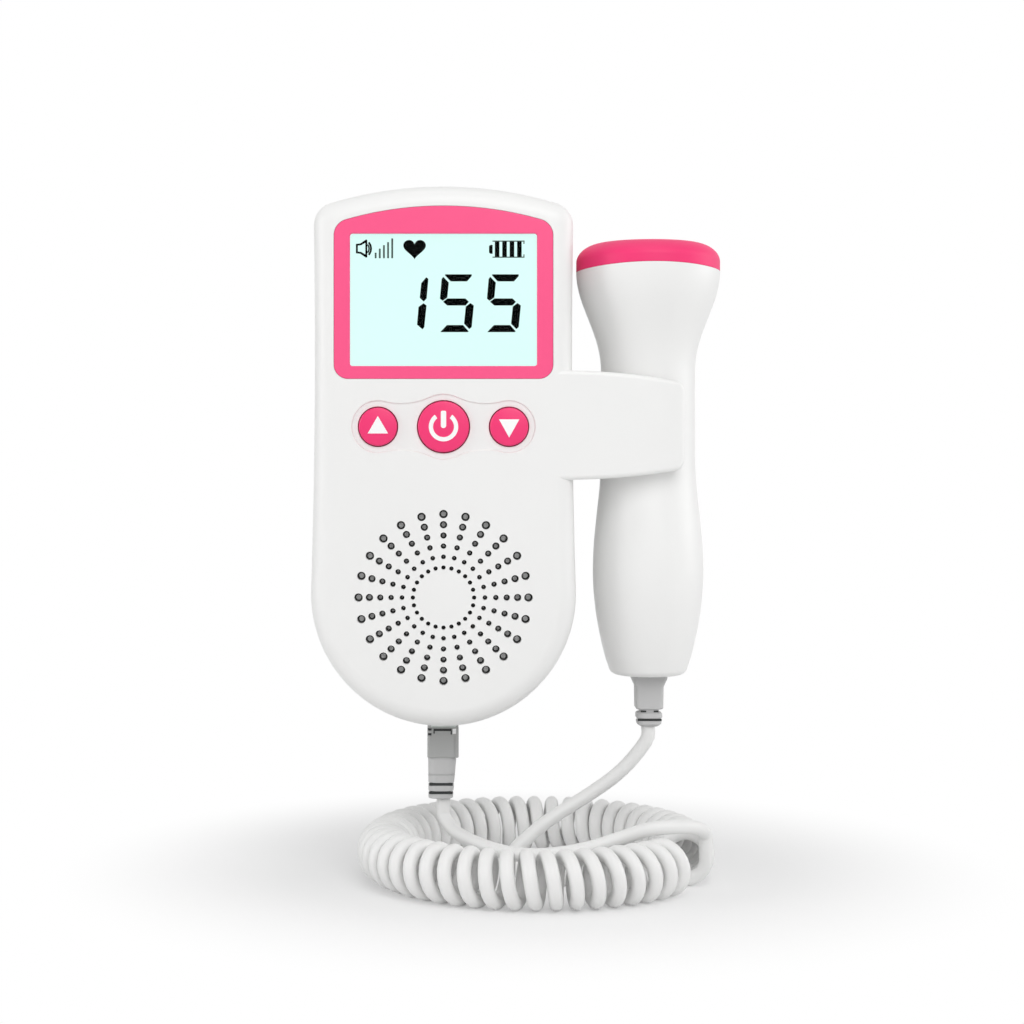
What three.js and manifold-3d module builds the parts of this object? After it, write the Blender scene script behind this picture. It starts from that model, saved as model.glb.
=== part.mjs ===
// Fetal doppler monitor: a hand unit with a display, a probe in its side holder and a curly cord.
// Millimetres. X runs to the right, Y to the back and Z up.
// The origin lies on the flat back of the unit, behind the middle of the speaker grille.

import * as THREE from "three";
import { mergeVertices } from "three/addons/utils/BufferGeometryUtils.js";
import Module from "manifold-3d";

const wasm = await Module();
wasm.setup();

// Clearances
const fit = 0.3;
const overrun = 1;

// Display
const windowWidth = 45.2;
const windowHeight = 32;
const bezelSide = 3.9;
const bezelLower = 3.1;
const bezelUpper = 6.7;
const bezelArch = 86;
const bezelTopCorner = 2.7;
const bezelBaseCorner = 3.4;
const bezelThickness = 1.1;
const lensThickness = 0.9;
const lensLap = 0.7;
const glassThickness = 2.8;
const glassLap = 1.5;
const backlightThickness = 2.4;
const connectorHeight = 3.2;
const displayBase = 53.2;

// Casing
const bodyDepth = 35;
const bodyEdge = 4.5;
const wall = 2.2;
const bezelMargin = 5.1;
const lowFlare = 0.7;
const lowCentre = 1.05;
const waistDip = 0.2;
const bodyArch = 96;
const bodyCorner = 5.7;
const topMargin = 5.15;

// Control buttons
const buttonDrop = 11.75;
const buttonPitch = 15.84;
const buttonRadius = 4.8;
const powerRadius = 6.35;
const buttonProud = 0.8;
const buttonCrown = 0.35;
const crownEdgeShare = 1.6;
const crownTopShare = 0.25;
const flangeLap = 1.1;
const flangeThickness = 1;
const buttonTravel = 0.5;

// Switches under the buttons
const switchWidth = 6;
const switchHeight = 2.6;
const plungerRadius = 1.7;
const switchFloor = 0.6;

// Circuit board
const boardThickness = 1.6;
const boardBelowButtons = 8;
const postRadius = 1.6;

// Speaker and its grille
const grilleSpokes = 24;
const grilleRings = 6;
const grilleInner = 7.4;
const grilleStep = 2.68;
const grilleHoleFirst = 1.07;
const grilleHoleLast = 2.07;
const grilleHolePower = 1.4;
const speakerMargin = 1;
const speakerDepth = 6.4;
const speakerRim = 1.5;
const speakerSheet = 0.8;
const dustMeshThickness = 0.4;
const coneThickness = 0.5;
const coneThroat = 5;
const magnetRadius = 11;
const magnetDepth = 4.2;
const seatRingWidth = 1.5;
const seatRingDepth = 3;

// Battery bay in the back
const cellRadius = 7.25;
const cellLength = 50.5;
const nubRadius = 2.75;
const nubLength = 1;
const cellGap = 0.5;
const springLength = 4.5;
const springBase = 3.4;
const springTip = 2.2;
const contactThickness = 0.4;
const contactInset = 1.6;
const bayBase = 31.2;
const bayFloor = 1.2;
const bayWall = 2.5;
const doorThickness = 1.4;
const doorLap = 1.6;
const doorCorner = 2;
const tongueWidth = 6;
const tongueThickness = 1.2;
const tongueReach = 1.8;

// Casing screws
const screwHeadRadius = 2.3;
const screwHeadHeight = 1.6;
const screwRadius = 1.1;
const screwLength = 9;
const screwSink = 9.5;
const bossWall = 1;
const topScrewX = 20;
const lowScrewX = 23.5;
const lowScrewZ = 24;

// Probe, measured up from its foot
const probeFootZ = -20.5;
const probeWall = 2;
const footRadius = 9.6;
const footRound = 1.6;
const gripRadius = 13.75;
const waistRadius = 11.85;
const headRadius = 17.9;
const gripHeight = 26.5;
const waistLowHeight = 55.5;
const waistHighHeight = 75.5;
const seamHeight = 100.6;
const capHeight = 7.4;
const gripSwellPower = 0.85;
const gripHeightShares = [0, 0.12, 0.26, 0.45, 0.7, 1];
const capRound = 4.5;
const capFace = 1.6;
const crystalThickness = 2;
const crystalInset = 1.8;
const crystalSplit = 1;
const backingThickness = 3.6;
const probeBoardLength = 55;
const probeBoardLift = 22;
const headGap = 1.6;

// Side holder for the probe
const armBaseZ = 28.7;
const armTopZ = 55.3;
const armTipTaperLow = 2.2;
const armTipTaperHigh = 3;
const armReach = 7.6;
const armFlatShort = 1.6;
const armTipBack = 2;
const armTipCorner = 2.9;

// Line socket, plug and boot
const socketHalf = 5.4;
const socketHeight = 11;
const noseWidth = 6.2;
const noseInside = 7;
const plugGap = 1.7;
const plugWidth = 8;
const plugHeight = 7.1;
const bootTopRadius = 3.35;
const bootTipRadius = 2.85;
const bootLength = 9.85;
const bootGroove = 0.6;
const grooveStartShare = 0.34;
const grooveSpanShare = 0.5;
const grooveFloorShare = 0.7;
const grooveLipShare = 0.2;

// Probe plug and boot
const probeNoseWidth = 5.6;
const probeNoseInside = 7;
const probeSocketWall = 1.4;
const probeCollarWidth = 8.5;
const probePlugWidth = 7.7;
const probePlugDepth = 6.6;
const probeCollarHeight = 2.6;
const probePlugHeight = 7.2;
const probeBootRadius = 3.3;
const probeBootLength = 4.6;
const probeBootGroove = 0.6;

// Cord
const cordDiameter = 3.45;
const cordSides = 8;
const ringX = 23;
const ringY = -17.5;
const ringZ = -63.8;
const ringRadius = 37.4;
const curlRadius = 5.45;
const curlsPerCircle = 51;
const curlCount = 48.25;
const curlSteps = 8;
const curlSides = 5;
const ringStart = THREE.MathUtils.degToRad(-18);
const tailLead = 2.4;

// Places worked out from the sizes
const bezelHalf = windowWidth / 2 + bezelSide;
const bodyHalf = bezelHalf + bezelMargin;
const lowRadius = bodyHalf + lowFlare;
const windowBase = displayBase + bezelLower;
const windowTop = windowBase + windowHeight;
const bezelTop = windowTop + bezelUpper;
const bodyTop = bezelTop + topMargin;
const bodyBottom = lowCentre - lowRadius;
const front = -bodyDepth;
const middleY = -bodyDepth / 2;
const innerFront = front + wall;
const buttonZ = displayBase - buttonDrop;
const probeX = bodyHalf + headGap + headRadius;
const probeLength = seamHeight + capHeight;

// Materials
function plastic(color, roughness) {
  return new THREE.MeshStandardMaterial({ color, roughness, metalness: 0 });
}

function metal(color, roughness) {
  return new THREE.MeshStandardMaterial({ color, roughness, metalness: 1 });
}

const white = plastic("#f0f0f0", 0.35);
const pink = plastic("#ff5c93", 0.35);
const pinkButton = plastic("#ff4a80", 0.4);
const clear = new THREE.MeshStandardMaterial({
  color: "#d8fdfc", roughness: 0.05, metalness: 0, transparent: true, opacity: 0.35,
});
const paleGlass = plastic("#d8fdfc", 0.1);
const diffuser = plastic("#f4fffe", 0.5);
const black = plastic("#202020", 0.5);
const board = plastic("#2c6b3f", 0.5);
const greyPlug = plastic("#a0a0a0", 0.5);
const greyCord = plastic("#d9d9d9", 0.5);
const paper = plastic("#3a3a3c", 0.8);
const ceramic = plastic("#e8e0c8", 0.6);
const steel = metal("#c8c8cc", 0.3);
const cellSkin = plastic("#3c4450", 0.4);

// Turns a closed geometry into a solid whose faces point out.
function solid(geometry) {
  const bare = geometry.clone();
  bare.deleteAttribute("normal");
  bare.deleteAttribute("uv");
  const merged = mergeVertices(bare, 1e-4);
  const vertProperties = new Float32Array(merged.attributes.position.array);
  const build = (triVerts) =>
    new wasm.Manifold(new wasm.Mesh({ numProp: 3, vertProperties, triVerts }));
  const faces = new Uint32Array(merged.index.array);
  const made = build(faces);
  return made.volume() < 0 ? build(faces.slice().reverse()) : made;
}

// Makes a named mesh from a solid and puts it into a group.
function addPiece(group, name, piece, material) {
  const { vertProperties, triVerts } = piece.getMesh();
  const geometry = new THREE.BufferGeometry();
  geometry.setAttribute("position", new THREE.BufferAttribute(vertProperties, 3));
  geometry.setIndex(new THREE.BufferAttribute(triVerts, 1));
  geometry.computeVertexNormals();
  const mesh = new THREE.Mesh(geometry, material);
  mesh.name = name;
  group.add(mesh);
  return mesh;
}

// Shape helpers: outlines are drawn in X and Z, or in X and Y for pieces that rise along Z.
function arc(x, y, radius, from, to, steps) {
  return Array.from({ length: steps + 1 }, (_, i) => {
    const angle = from + ((to - from) * i) / steps;
    return new THREE.Vector2(x + radius * Math.cos(angle), y + radius * Math.sin(angle));
  });
}

function mirrored(points) {
  return points.map((p) => new THREE.Vector2(-p.x, p.y)).reverse();
}

// A plate seen from the front, from the depth near to the depth far.
function plate(points, near, far) {
  const settings = { depth: far - near, bevelEnabled: false };
  const geometry = new THREE.ExtrudeGeometry(new THREE.Shape(points), settings);
  geometry.rotateX(Math.PI / 2).translate(0, far, 0);
  return solid(geometry);
}

// A column seen from above, from the height base to the height top.
function column(points, base, top) {
  const settings = { depth: top - base, bevelEnabled: false };
  const geometry = new THREE.ExtrudeGeometry(new THREE.Shape(points), settings);
  return solid(geometry.translate(0, 0, base));
}

function block(x0, x1, y0, y1, z0, z1) {
  const geometry = new THREE.BoxGeometry(x1 - x0, y1 - y0, z1 - z0);
  return solid(geometry.translate((x0 + x1) / 2, (y0 + y1) / 2, (z0 + z1) / 2));
}

// A round piece about a line along Y, from pairs of radius and depth.
function turnedY(pairs, x, z, segments) {
  const profile = pairs.map(([radius, depth]) => new THREE.Vector2(radius, depth));
  return solid(new THREE.LatheGeometry(profile, segments).translate(x, 0, z));
}

// A round piece about the Z axis, from pairs of radius and height.
function turnedZ(pairs, segments) {
  const profile = pairs.map(([radius, height]) => new THREE.Vector2(radius, height));
  return solid(new THREE.LatheGeometry(profile, segments).rotateX(Math.PI / 2));
}

function rodY(radius, near, far, x, z, segments) {
  return turnedY([[0, near], [radius, near], [radius, far], [0, far]], x, z, segments);
}

function rectangle(half, base, top, corner, steps) {
  const right = [
    ...arc(half - corner, base + corner, corner, -Math.PI / 2, 0, steps),
    ...arc(half - corner, top - corner, corner, 0, Math.PI / 2, steps),
  ];
  return [...right, ...mirrored(right)];
}

// An upright outline whose top is a wide arch that runs into round corners.
function archRight(half, apex, arch, corner, cornerSteps, archSteps) {
  const archZ = apex - arch;
  const cornerX = half - corner;
  const cornerZ = archZ + Math.sqrt((arch - corner) ** 2 - cornerX ** 2);
  const lean = Math.atan2(cornerZ - archZ, cornerX);
  return [
    ...arc(cornerX, cornerZ, corner, 0, lean, cornerSteps),
    ...arc(0, archZ, arch, lean, Math.PI / 2, archSteps).slice(1),
  ];
}

function bezelOutline(grow) {
  const half = bezelHalf + grow;
  const base = displayBase - grow;
  const corner = bezelBaseCorner + grow;
  const right = [
    ...arc(half - corner, base + corner, corner, -Math.PI / 2, 0, 4),
    ...archRight(half, bezelTop + grow, bezelArch + grow, bezelTopCorner + grow, 4, 6),
  ];
  return [...right, ...mirrored(right).slice(1)];
}

function bodyOutline(inset) {
  const low = lowRadius - inset;
  const half = bodyHalf - inset;
  const corner = Math.max(bodyCorner - inset, fit);
  const top = archRight(half, bodyTop - inset, bodyArch - inset, corner, 3, 5);
  const waist = 2 * (bodyHalf - waistDip - inset) - (low + half) / 2;
  const side = new THREE.QuadraticBezierCurve(
    new THREE.Vector2(low, lowCentre), new THREE.Vector2(waist, top[0].y / 2), top[0],
  );
  const right = [
    ...arc(0, lowCentre, low, -Math.PI / 2, 0, 14),
    ...side.getPoints(5).slice(1, -1),
    ...top,
  ];
  return [...right, ...mirrored(right).slice(1, -1)];
}

// The casing's rounded block, or the room inside it when the skin is the wall.
function bodyBlock(skin, bevelSegments) {
  const round = bodyEdge - skin;
  const settings = {
    depth: bodyDepth - 2 * bodyEdge,
    bevelThickness: round,
    bevelSize: round,
    bevelSegments,
  };
  const geometry = new THREE.ExtrudeGeometry(new THREE.Shape(bodyOutline(bodyEdge)), settings);
  geometry.rotateX(Math.PI / 2).translate(0, -bodyEdge, 0);
  return solid(geometry);
}

// Radius of the probe's grip at a height above its foot
function ease(from, to, share) {
  return from + ((to - from) * (1 - Math.cos(Math.PI * share))) / 2;
}

function gripRadiusAt(height) {
  if (height <= gripHeight) {
    const share = Math.max(height - footRound, 0) / (gripHeight - footRound);
    const swell = Math.sin((Math.PI / 2) * share) ** gripSwellPower;
    return footRadius + (gripRadius - footRadius) * swell;
  }
  if (height <= waistLowHeight) {
    return ease(gripRadius, waistRadius, (height - gripHeight) / (waistLowHeight - gripHeight));
  }
  if (height <= waistHighHeight) return waistRadius;
  return ease(waistRadius, headRadius, (height - waistHighHeight) / (seamHeight - waistHighHeight));
}

// Holder: a slot that takes the probe's waist from the side
const seatRadius = fit + Math.max(
  gripRadiusAt(armBaseZ - probeFootZ), gripRadiusAt(armTopZ - probeFootZ), waistRadius,
);
const tipX = probeX + armReach;
const holderRoot = bodyHalf - bodyEdge - wall;

function holderProfile() {
  const flatEnd = probeX - armFlatShort;
  const curve = new THREE.QuadraticBezierCurve(
    new THREE.Vector2(flatEnd, front),
    new THREE.Vector2((flatEnd + tipX) / 2, front),
    new THREE.Vector2(tipX, front + armTipBack),
  ).getPoints(4);
  const near = [
    new THREE.Vector2(holderRoot, front),
    ...curve,
    new THREE.Vector2(tipX, middleY - seatRadius),
  ];
  const seat = arc(probeX, middleY, seatRadius, -Math.PI / 2, -1.5 * Math.PI, 12);
  const far = near.map((p) => new THREE.Vector2(p.x, -bodyDepth - p.y)).reverse();
  return [...near, ...seat, ...far];
}

function holderOutline() {
  const base = armBaseZ + armTipTaperLow;
  const top = armTopZ - armTipTaperHigh;
  const bendEnd = tipX - armTipCorner;
  const bent = (rootZ, endZ) => new THREE.QuadraticBezierCurve(
    new THREE.Vector2(holderRoot, rootZ),
    new THREE.Vector2((holderRoot + bendEnd) / 2, rootZ),
    new THREE.Vector2(bendEnd, endZ),
  ).getPoints(3).slice(0, -1);
  return [
    ...bent(armBaseZ, base),
    ...arc(bendEnd, base + armTipCorner, armTipCorner, -Math.PI / 2, 0, 3),
    ...arc(bendEnd, top - armTipCorner, armTipCorner, 0, Math.PI / 2, 3),
    ...bent(armTopZ, top).reverse(),
  ];
}

function holder() {
  const across = column(holderProfile(), armBaseZ - overrun, armTopZ + overrun);
  return across.intersect(plate(holderOutline(), front - overrun, overrun));
}

function holderRoom() {
  return block(
    holderRoot, probeX - seatRadius - wall,
    innerFront, -wall,
    armBaseZ + wall + armTipTaperLow / 2, armTopZ - wall - armTipTaperHigh / 2,
  );
}

const casing = bodyBlock(0, 3).add(holder());
const room = bodyBlock(wall, 2).add(holderRoom());
const farX = tipX + overrun;

function halfSpace(near, far) {
  return block(-farX, farX, near, far, bodyBottom - overrun, bodyTop + overrun);
}

// Depths of the display stack, from the front to the circuit board
const bezelBack = front + bezelThickness;
const lensFront = bezelBack + fit;
const lensBack = lensFront + lensThickness;
const glassFront = Math.max(innerFront, lensBack) + fit;
const glassBack = glassFront + glassThickness;
const backlightFront = glassBack + fit;
const backlightBack = backlightFront + backlightThickness;
const boardFront = backlightBack + fit;
const boardBack = boardFront + boardThickness;

// Display pieces
const glassHalf = windowWidth / 2 + glassLap;
const glassBase = windowBase - glassLap;
const glassTop = windowTop + glassLap;
const lensHalf = windowWidth / 2 + lensLap;
const connectorTop = glassBase + connectorHeight;
const boardBase = buttonZ - boardBelowButtons;

// Screw places and bosses
const headBossRadius = screwHeadRadius + fit + bossWall;
const screwBore = screwRadius + fit;
const tipBossRadius = screwBore + bossWall;
const topScrewZ = glassTop + 2 * fit + tipBossRadius;
const screwPlaces = [
  [-topScrewX, topScrewZ], [topScrewX, topScrewZ],
  [-lowScrewX, lowScrewZ], [lowScrewX, lowScrewZ],
];
const screwHeadBack = -screwSink;
const screwHeadFront = screwHeadBack - screwHeadHeight;
const screwTip = screwHeadFront - screwLength;

function sheet(half, base, top, near, far) {
  return block(-half, half, near, far, base, top);
}

// Buttons and the switches behind them
const controls = [
  { name: "up", x: -buttonPitch, radius: buttonRadius },
  { name: "power", x: 0, radius: powerRadius },
  { name: "down", x: buttonPitch, radius: buttonRadius },
];
const flangeFront = innerFront + fit;
const flangeBack = flangeFront + flangeThickness;
const switchBack = boardFront - fit;
const switchFront = switchBack - switchHeight;
const plungerFront = flangeBack + fit;
const plungerBack = switchBack - switchFloor - fit - buttonTravel;

function buttonCap(radius, x) {
  const top = front - buttonProud;
  return turnedY([
    [0, flangeBack],
    [radius + flangeLap, flangeBack],
    [radius + flangeLap, flangeFront],
    [radius, flangeFront],
    [radius, top + buttonCrown * crownEdgeShare],
    [radius - buttonCrown, top + buttonCrown],
    [radius / 2, top + buttonCrown * crownTopShare],
    [0, top],
  ], x, buttonZ, 20);
}

function switchBody(x) {
  const half = switchWidth / 2;
  const body = block(x - half, x + half, switchFront, switchBack, buttonZ - half, buttonZ + half);
  const bore = rodY(
    plungerRadius + fit, switchFront - overrun, switchBack - switchFloor, x, buttonZ, 10,
  );
  return body.subtract(bore);
}

// Line socket and the plug in it
const socketBase = lowCentre - Math.sqrt((lowRadius - wall) ** 2 - socketHalf ** 2) + fit;
const noseHalf = noseWidth / 2;
const noseTop = socketBase + noseInside;

function squareColumn(half, depthHalf, base, top) {
  return block(-half, half, middleY - depthHalf, middleY + depthHalf, base, top);
}

function lineSocket() {
  const body = squareColumn(socketHalf, socketHalf, socketBase, socketBase + socketHeight);
  const hole = squareColumn(noseHalf + fit, noseHalf + fit, socketBase - overrun, noseTop + fit);
  return body.subtract(hole);
}

const plugPassage = squareColumn(
  noseHalf + fit, noseHalf + fit, bodyBottom - overrun, socketBase + overrun,
);

// Grille: rings of holes that widen outwards
function grilleHoles() {
  const holes = [];
  for (let ring = 0; ring < grilleRings; ring += 1) {
    const share = ring / (grilleRings - 1);
    const distance = grilleInner + grilleStep * ring;
    const radius = (grilleHoleFirst + (grilleHoleLast - grilleHoleFirst) * share ** grilleHolePower) / 2;
    for (let spoke = 0; spoke < grilleSpokes; spoke += 1) {
      const angle = (2 * Math.PI * spoke) / grilleSpokes;
      holes.push(rodY(
        radius, front - overrun, innerFront + overrun,
        distance * Math.sin(angle), distance * Math.cos(angle), 5,
      ));
    }
  }
  return holes;
}

const grilleOuter = grilleInner + grilleStep * (grilleRings - 1) + grilleHoleLast / 2;
const speakerRadius = grilleOuter + speakerMargin;

// Front shell
function frontShell() {
  let shell = casing.intersect(halfSpace(front - overrun, middleY - fit / 2)).subtract(room);
  const inside = bodyBlock(wall / 2, 1);
  const posts = [];
  for (const [x, z] of screwPlaces) {
    posts.push(rodY(tipBossRadius, innerFront - wall / 2, middleY - fit / 2, x, z, 12));
  }
  const postX = glassHalf - postRadius;
  for (const side of [-1, 1]) {
    const [low, high] = [boardBase + 2 * postRadius, glassBase - 2 * postRadius];
    for (const z of [low, high]) {
      posts.push(rodY(postRadius, innerFront - wall / 2, boardFront - fit, side * postX, z, 8));
    }
  }
  const ringInner = speakerRadius + fit;
  const ringOuter = ringInner + seatRingWidth;
  posts.push(turnedY([
    [ringInner, innerFront - wall / 2], [ringOuter, innerFront - wall / 2],
    [ringOuter, innerFront + seatRingDepth], [ringInner, innerFront + seatRingDepth],
    [ringInner, innerFront - wall / 2],
  ], 0, 0, 24));
  for (const post of posts) shell = shell.add(post.intersect(inside));
  for (const [x, z] of screwPlaces) {
    shell = shell.subtract(rodY(screwBore, screwTip - fit, middleY + overrun, x, z, 10));
  }
  for (const control of controls) {
    shell = shell.subtract(rodY(
      control.radius + fit, front - overrun, innerFront + overrun, control.x, buttonZ, 20,
    ));
  }
  const recess = plate(bezelOutline(fit), front - overrun, bezelBack + fit);
  const opening = sheet(
    lensHalf + fit, windowBase - lensLap - fit, windowTop + lensLap + fit,
    front - overrun, innerFront + overrun,
  );
  shell = shell.subtract(recess).subtract(opening).subtract(plugPassage);
  for (const hole of grilleHoles()) shell = shell.subtract(hole);
  return shell;
}

// Battery bay: two cells side by side, head to tail
const bayHalf = cellGap / 2 + 2 * cellRadius + fit;
const cellY = -(doorThickness + 2 * fit + cellRadius);
const bayFront = cellY - cellRadius - fit;
const endStack = fit + contactThickness + fit;
const bayLength = endStack + springLength + fit + cellLength + endStack;
const bayTop = bayBase + bayLength;
const doorBase = bayBase - doorLap;
const doorTop = bayTop + doorLap;
const doorHalf = bayHalf + doorLap;
const cellX = cellGap / 2 + cellRadius;
const tongueX = doorHalf / 2;
const tongueBack = -(doorThickness + 2 * fit);
const tongueFront = tongueBack - tongueThickness;

function rearShell() {
  let shell = casing.intersect(halfSpace(middleY + fit / 2, overrun)).subtract(room);
  const inside = bodyBlock(wall / 2, 1);
  for (const [x, z] of screwPlaces) {
    const boss = rodY(headBossRadius, middleY + fit / 2, -wall / 2, x, z, 12);
    shell = shell.add(boss.intersect(inside));
  }
  const bay = block(
    -bayHalf - bayWall, bayHalf + bayWall, bayFront - bayFloor, -wall / 2,
    bayBase - bayWall, bayTop + bayWall,
  );
  shell = shell.add(bay);
  shell = shell.subtract(block(-bayHalf, bayHalf, bayFront, overrun, bayBase, bayTop));
  const recess = rectangle(doorHalf + fit, doorBase - fit, doorTop + fit, doorCorner + fit, 3);
  shell = shell.subtract(plate(recess, -(doorThickness + fit), overrun));
  for (const side of [-1, 1]) {
    const half = tongueWidth / 2 + fit;
    const x = side * tongueX;
    shell = shell.subtract(block(
      x - half, x + half, tongueFront - 2 * fit, -(doorThickness + fit),
      bayTop - overrun, doorTop + tongueReach + 2 * fit,
    ));
  }
  for (const [x, z] of screwPlaces) {
    shell = shell.subtract(rodY(screwHeadRadius + fit, screwHeadFront - fit, overrun, x, z, 12));
    shell = shell.subtract(rodY(screwBore, middleY - overrun, screwHeadBack, x, z, 10));
  }
  return shell.subtract(plugPassage);
}

function batteryDoor() {
  let door = plate(rectangle(doorHalf, doorBase, doorTop, doorCorner, 3), -doorThickness, 0);
  for (const side of [-1, 1]) {
    const [x0, x1] = [side * tongueX - tongueWidth / 2, side * tongueX + tongueWidth / 2];
    door = door.add(block(x0, x1, tongueFront, -doorThickness / 2, bayTop, doorTop));
    door = door.add(block(x0, x1, tongueFront, tongueBack, bayTop, doorTop + tongueReach));
  }
  return door;
}

function cell(up) {
  const body = turnedZ([
    [0, 0], [cellRadius, 0], [cellRadius, cellLength - nubLength],
    [nubRadius, cellLength - nubLength], [nubRadius, cellLength], [0, cellLength],
  ], 20);
  return up ? body : body.rotate([180, 0, 0]).translate([0, 0, cellLength]);
}

function contactSpring(up) {
  const [low, high] = up ? [springBase, springTip] : [springTip, springBase];
  return turnedZ([[0, 0], [low, 0], [high, springLength], [0, springLength]], 12);
}

// Speaker behind the grille
const dustMeshBack = innerFront + fit + dustMeshThickness;
const frameFront = dustMeshBack + fit;
const frameBack = frameFront + speakerDepth;

function speakerFrame() {
  const throat = magnetRadius;
  return turnedY([
    [speakerRadius, frameFront],
    [speakerRadius, frameFront + speakerRim],
    [throat, frameBack],
    [coneThroat + 2 * fit, frameBack],
    [coneThroat + 2 * fit, frameBack - speakerSheet],
    [throat - speakerSheet, frameBack - speakerSheet],
    [speakerRadius - 3 * speakerSheet, frameFront + speakerSheet],
    [speakerRadius - 3 * speakerSheet, frameFront],
    [speakerRadius, frameFront],
  ], 0, 0, 24);
}

function speakerCone() {
  const rim = speakerRadius - 3 * speakerSheet - fit;
  const throat = frameBack - speakerSheet - 2 * fit;
  return turnedY([
    [0, throat - coneThickness],
    [coneThroat, throat - coneThickness],
    [rim, frameFront + fit],
    [rim, frameFront + fit + coneThickness],
    [coneThroat, throat],
    [0, throat],
  ], 0, 0, 24);
}

// Probe, built about its own axis with its foot at zero
function probeProfile(inset) {
  const base = inset;
  const points = [[0, base], [footRadius - footRound - inset / 2, base]];
  for (const share of gripHeightShares) {
    const height = footRound + (gripHeight - footRound) * share;
    points.push([gripRadiusAt(height) - inset, Math.max(height, base + footRound / 2)]);
  }
  const between = (low, high, steps) => {
    for (let i = 1; i <= steps; i += 1) {
      const height = low + ((high - low) * i) / steps;
      points.push([gripRadiusAt(height) - inset, height]);
    }
  };
  between(gripHeight, waistLowHeight, 4);
  points.push([waistRadius - inset, waistHighHeight]);
  between(waistHighHeight, seamHeight, 6);
  return points;
}

function probeTube() {
  const outer = turnedZ([...probeProfile(0), [0, seamHeight]], 28);
  const top = [headRadius - probeWall, seamHeight + overrun];
  const inner = turnedZ([...probeProfile(probeWall), top, [0, seamHeight + overrun]], 24);
  const noseHole = probeNoseWidth / 2 + fit;
  const hole = block(-noseHole, noseHole, -noseHole, noseHole, -overrun, probeWall + overrun);
  return outer.subtract(inner).subtract(hole);
}

function probeCap() {
  const round = arc(headRadius - capRound, probeLength - capRound, capRound, Math.PI / 2, 0, 4);
  return turnedZ([
    [0, probeLength],
    ...round.map((p) => [p.x, p.y]),
    [headRadius, seamHeight + fit],
    [headRadius - probeWall, seamHeight + fit],
    [headRadius - probeWall, probeLength - capRound],
    [headRadius - capRound, probeLength - capFace],
    [0, probeLength - capFace],
  ], 28);
}

const crystalTop = probeLength - capFace - fit;
const crystalBase = crystalTop - crystalThickness;
const backingTop = crystalBase - fit;

function crystal(side) {
  const radius = headRadius - capRound - crystalInset + fit;
  const disc = turnedZ([[0, crystalBase], [radius, crystalBase], [radius, crystalTop],
    [0, crystalTop]], 24);
  const from = crystalSplit / 2;
  const half = block(from, radius + overrun, -headRadius, headRadius, crystalBase - overrun,
    crystalTop + overrun);
  const cut = disc.intersect(half);
  return side > 0 ? cut : cut.rotate([0, 0, 180]);
}

function probeSocket() {
  const half = probeNoseWidth / 2 + fit;
  const outer = half + probeSocketWall;
  const base = probeWall + fit;
  const body = block(-outer, outer, -outer, outer, base, base + probeNoseInside + fit);
  return body.subtract(block(-half, half, -half, half, base - overrun, base + probeNoseInside));
}

function probePlug() {
  const nose = probeNoseWidth / 2;
  const wide = probeCollarWidth / 2;
  const half = probePlugWidth / 2;
  const depth = probePlugDepth / 2;
  const flare = [
    new THREE.Vector2(half, -probePlugHeight - fit),
    new THREE.Vector2(half, -probeCollarHeight - fit),
    new THREE.Vector2(wide, -fit),
  ];
  const body = plate([...flare, ...mirrored(flare)], -depth, depth);
  return body.add(block(-nose, nose, -nose, nose, -fit - overrun, probeWall + probeNoseInside));
}

// A round strain relief with grooves round it, hanging down from a height
function grooved(topRadius, tipRadius, top, length, groove, count) {
  const pairs = [[0, top], [topRadius, top]];
  const radiusAt = (share) => topRadius + (tipRadius - topRadius) * share;
  for (let i = 0; i < count; i += 1) {
    const share = grooveStartShare + (grooveSpanShare * i) / (count - 1);
    const radius = radiusAt(share);
    const height = top - length * share;
    pairs.push([radius, height + groove], [radius - groove, height + groove * grooveFloorShare]);
    pairs.push([radius - groove, height - groove * grooveLipShare], [radius, height - groove / 2]);
  }
  pairs.push([tipRadius, top - length], [0, top - length]);
  return turnedZ(pairs, 12);
}

// Cord: the curly ring winds about a level circle, and each free stretch follows chosen points
function ringPoint(turn) {
  const around = ringStart + turn / curlsPerCircle;
  const out = ringRadius + curlRadius * Math.sin(turn);
  return new THREE.Vector3(
    ringX + out * Math.cos(around),
    ringY + out * Math.sin(around),
    ringZ + curlRadius * Math.cos(turn),
  );
}

function ringTangent(turn) {
  const step = 1e-3;
  return ringPoint(turn + step).sub(ringPoint(turn - step)).normalize();
}

function ringCentre(turn) {
  const around = ringStart + turn / curlsPerCircle;
  return new THREE.Vector3(
    ringX + ringRadius * Math.cos(around), ringY + ringRadius * Math.sin(around), ringZ,
  );
}

const firstTurn = Math.PI / 2;
const lastTurn = firstTurn + 2 * Math.PI * curlCount;

function coilStations() {
  const stations = [];
  const steps = Math.round(curlCount * curlSteps);
  for (let i = 0; i <= steps; i += 1) {
    const turn = firstTurn + ((lastTurn - firstTurn) * i) / steps;
    const point = ringPoint(turn);
    const tangent = ringTangent(turn);
    const toCentre = ringCentre(turn).sub(point).normalize();
    stations.push({ point, tangent, toCentre });
  }
  const shifted = (station, distance) => ({
    ...station, point: station.point.clone().addScaledVector(station.tangent, distance),
  });
  const last = stations.at(-1);
  return [shifted(stations[0], -cordDiameter), ...stations, shifted(last, cordDiameter)];
}

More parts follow.
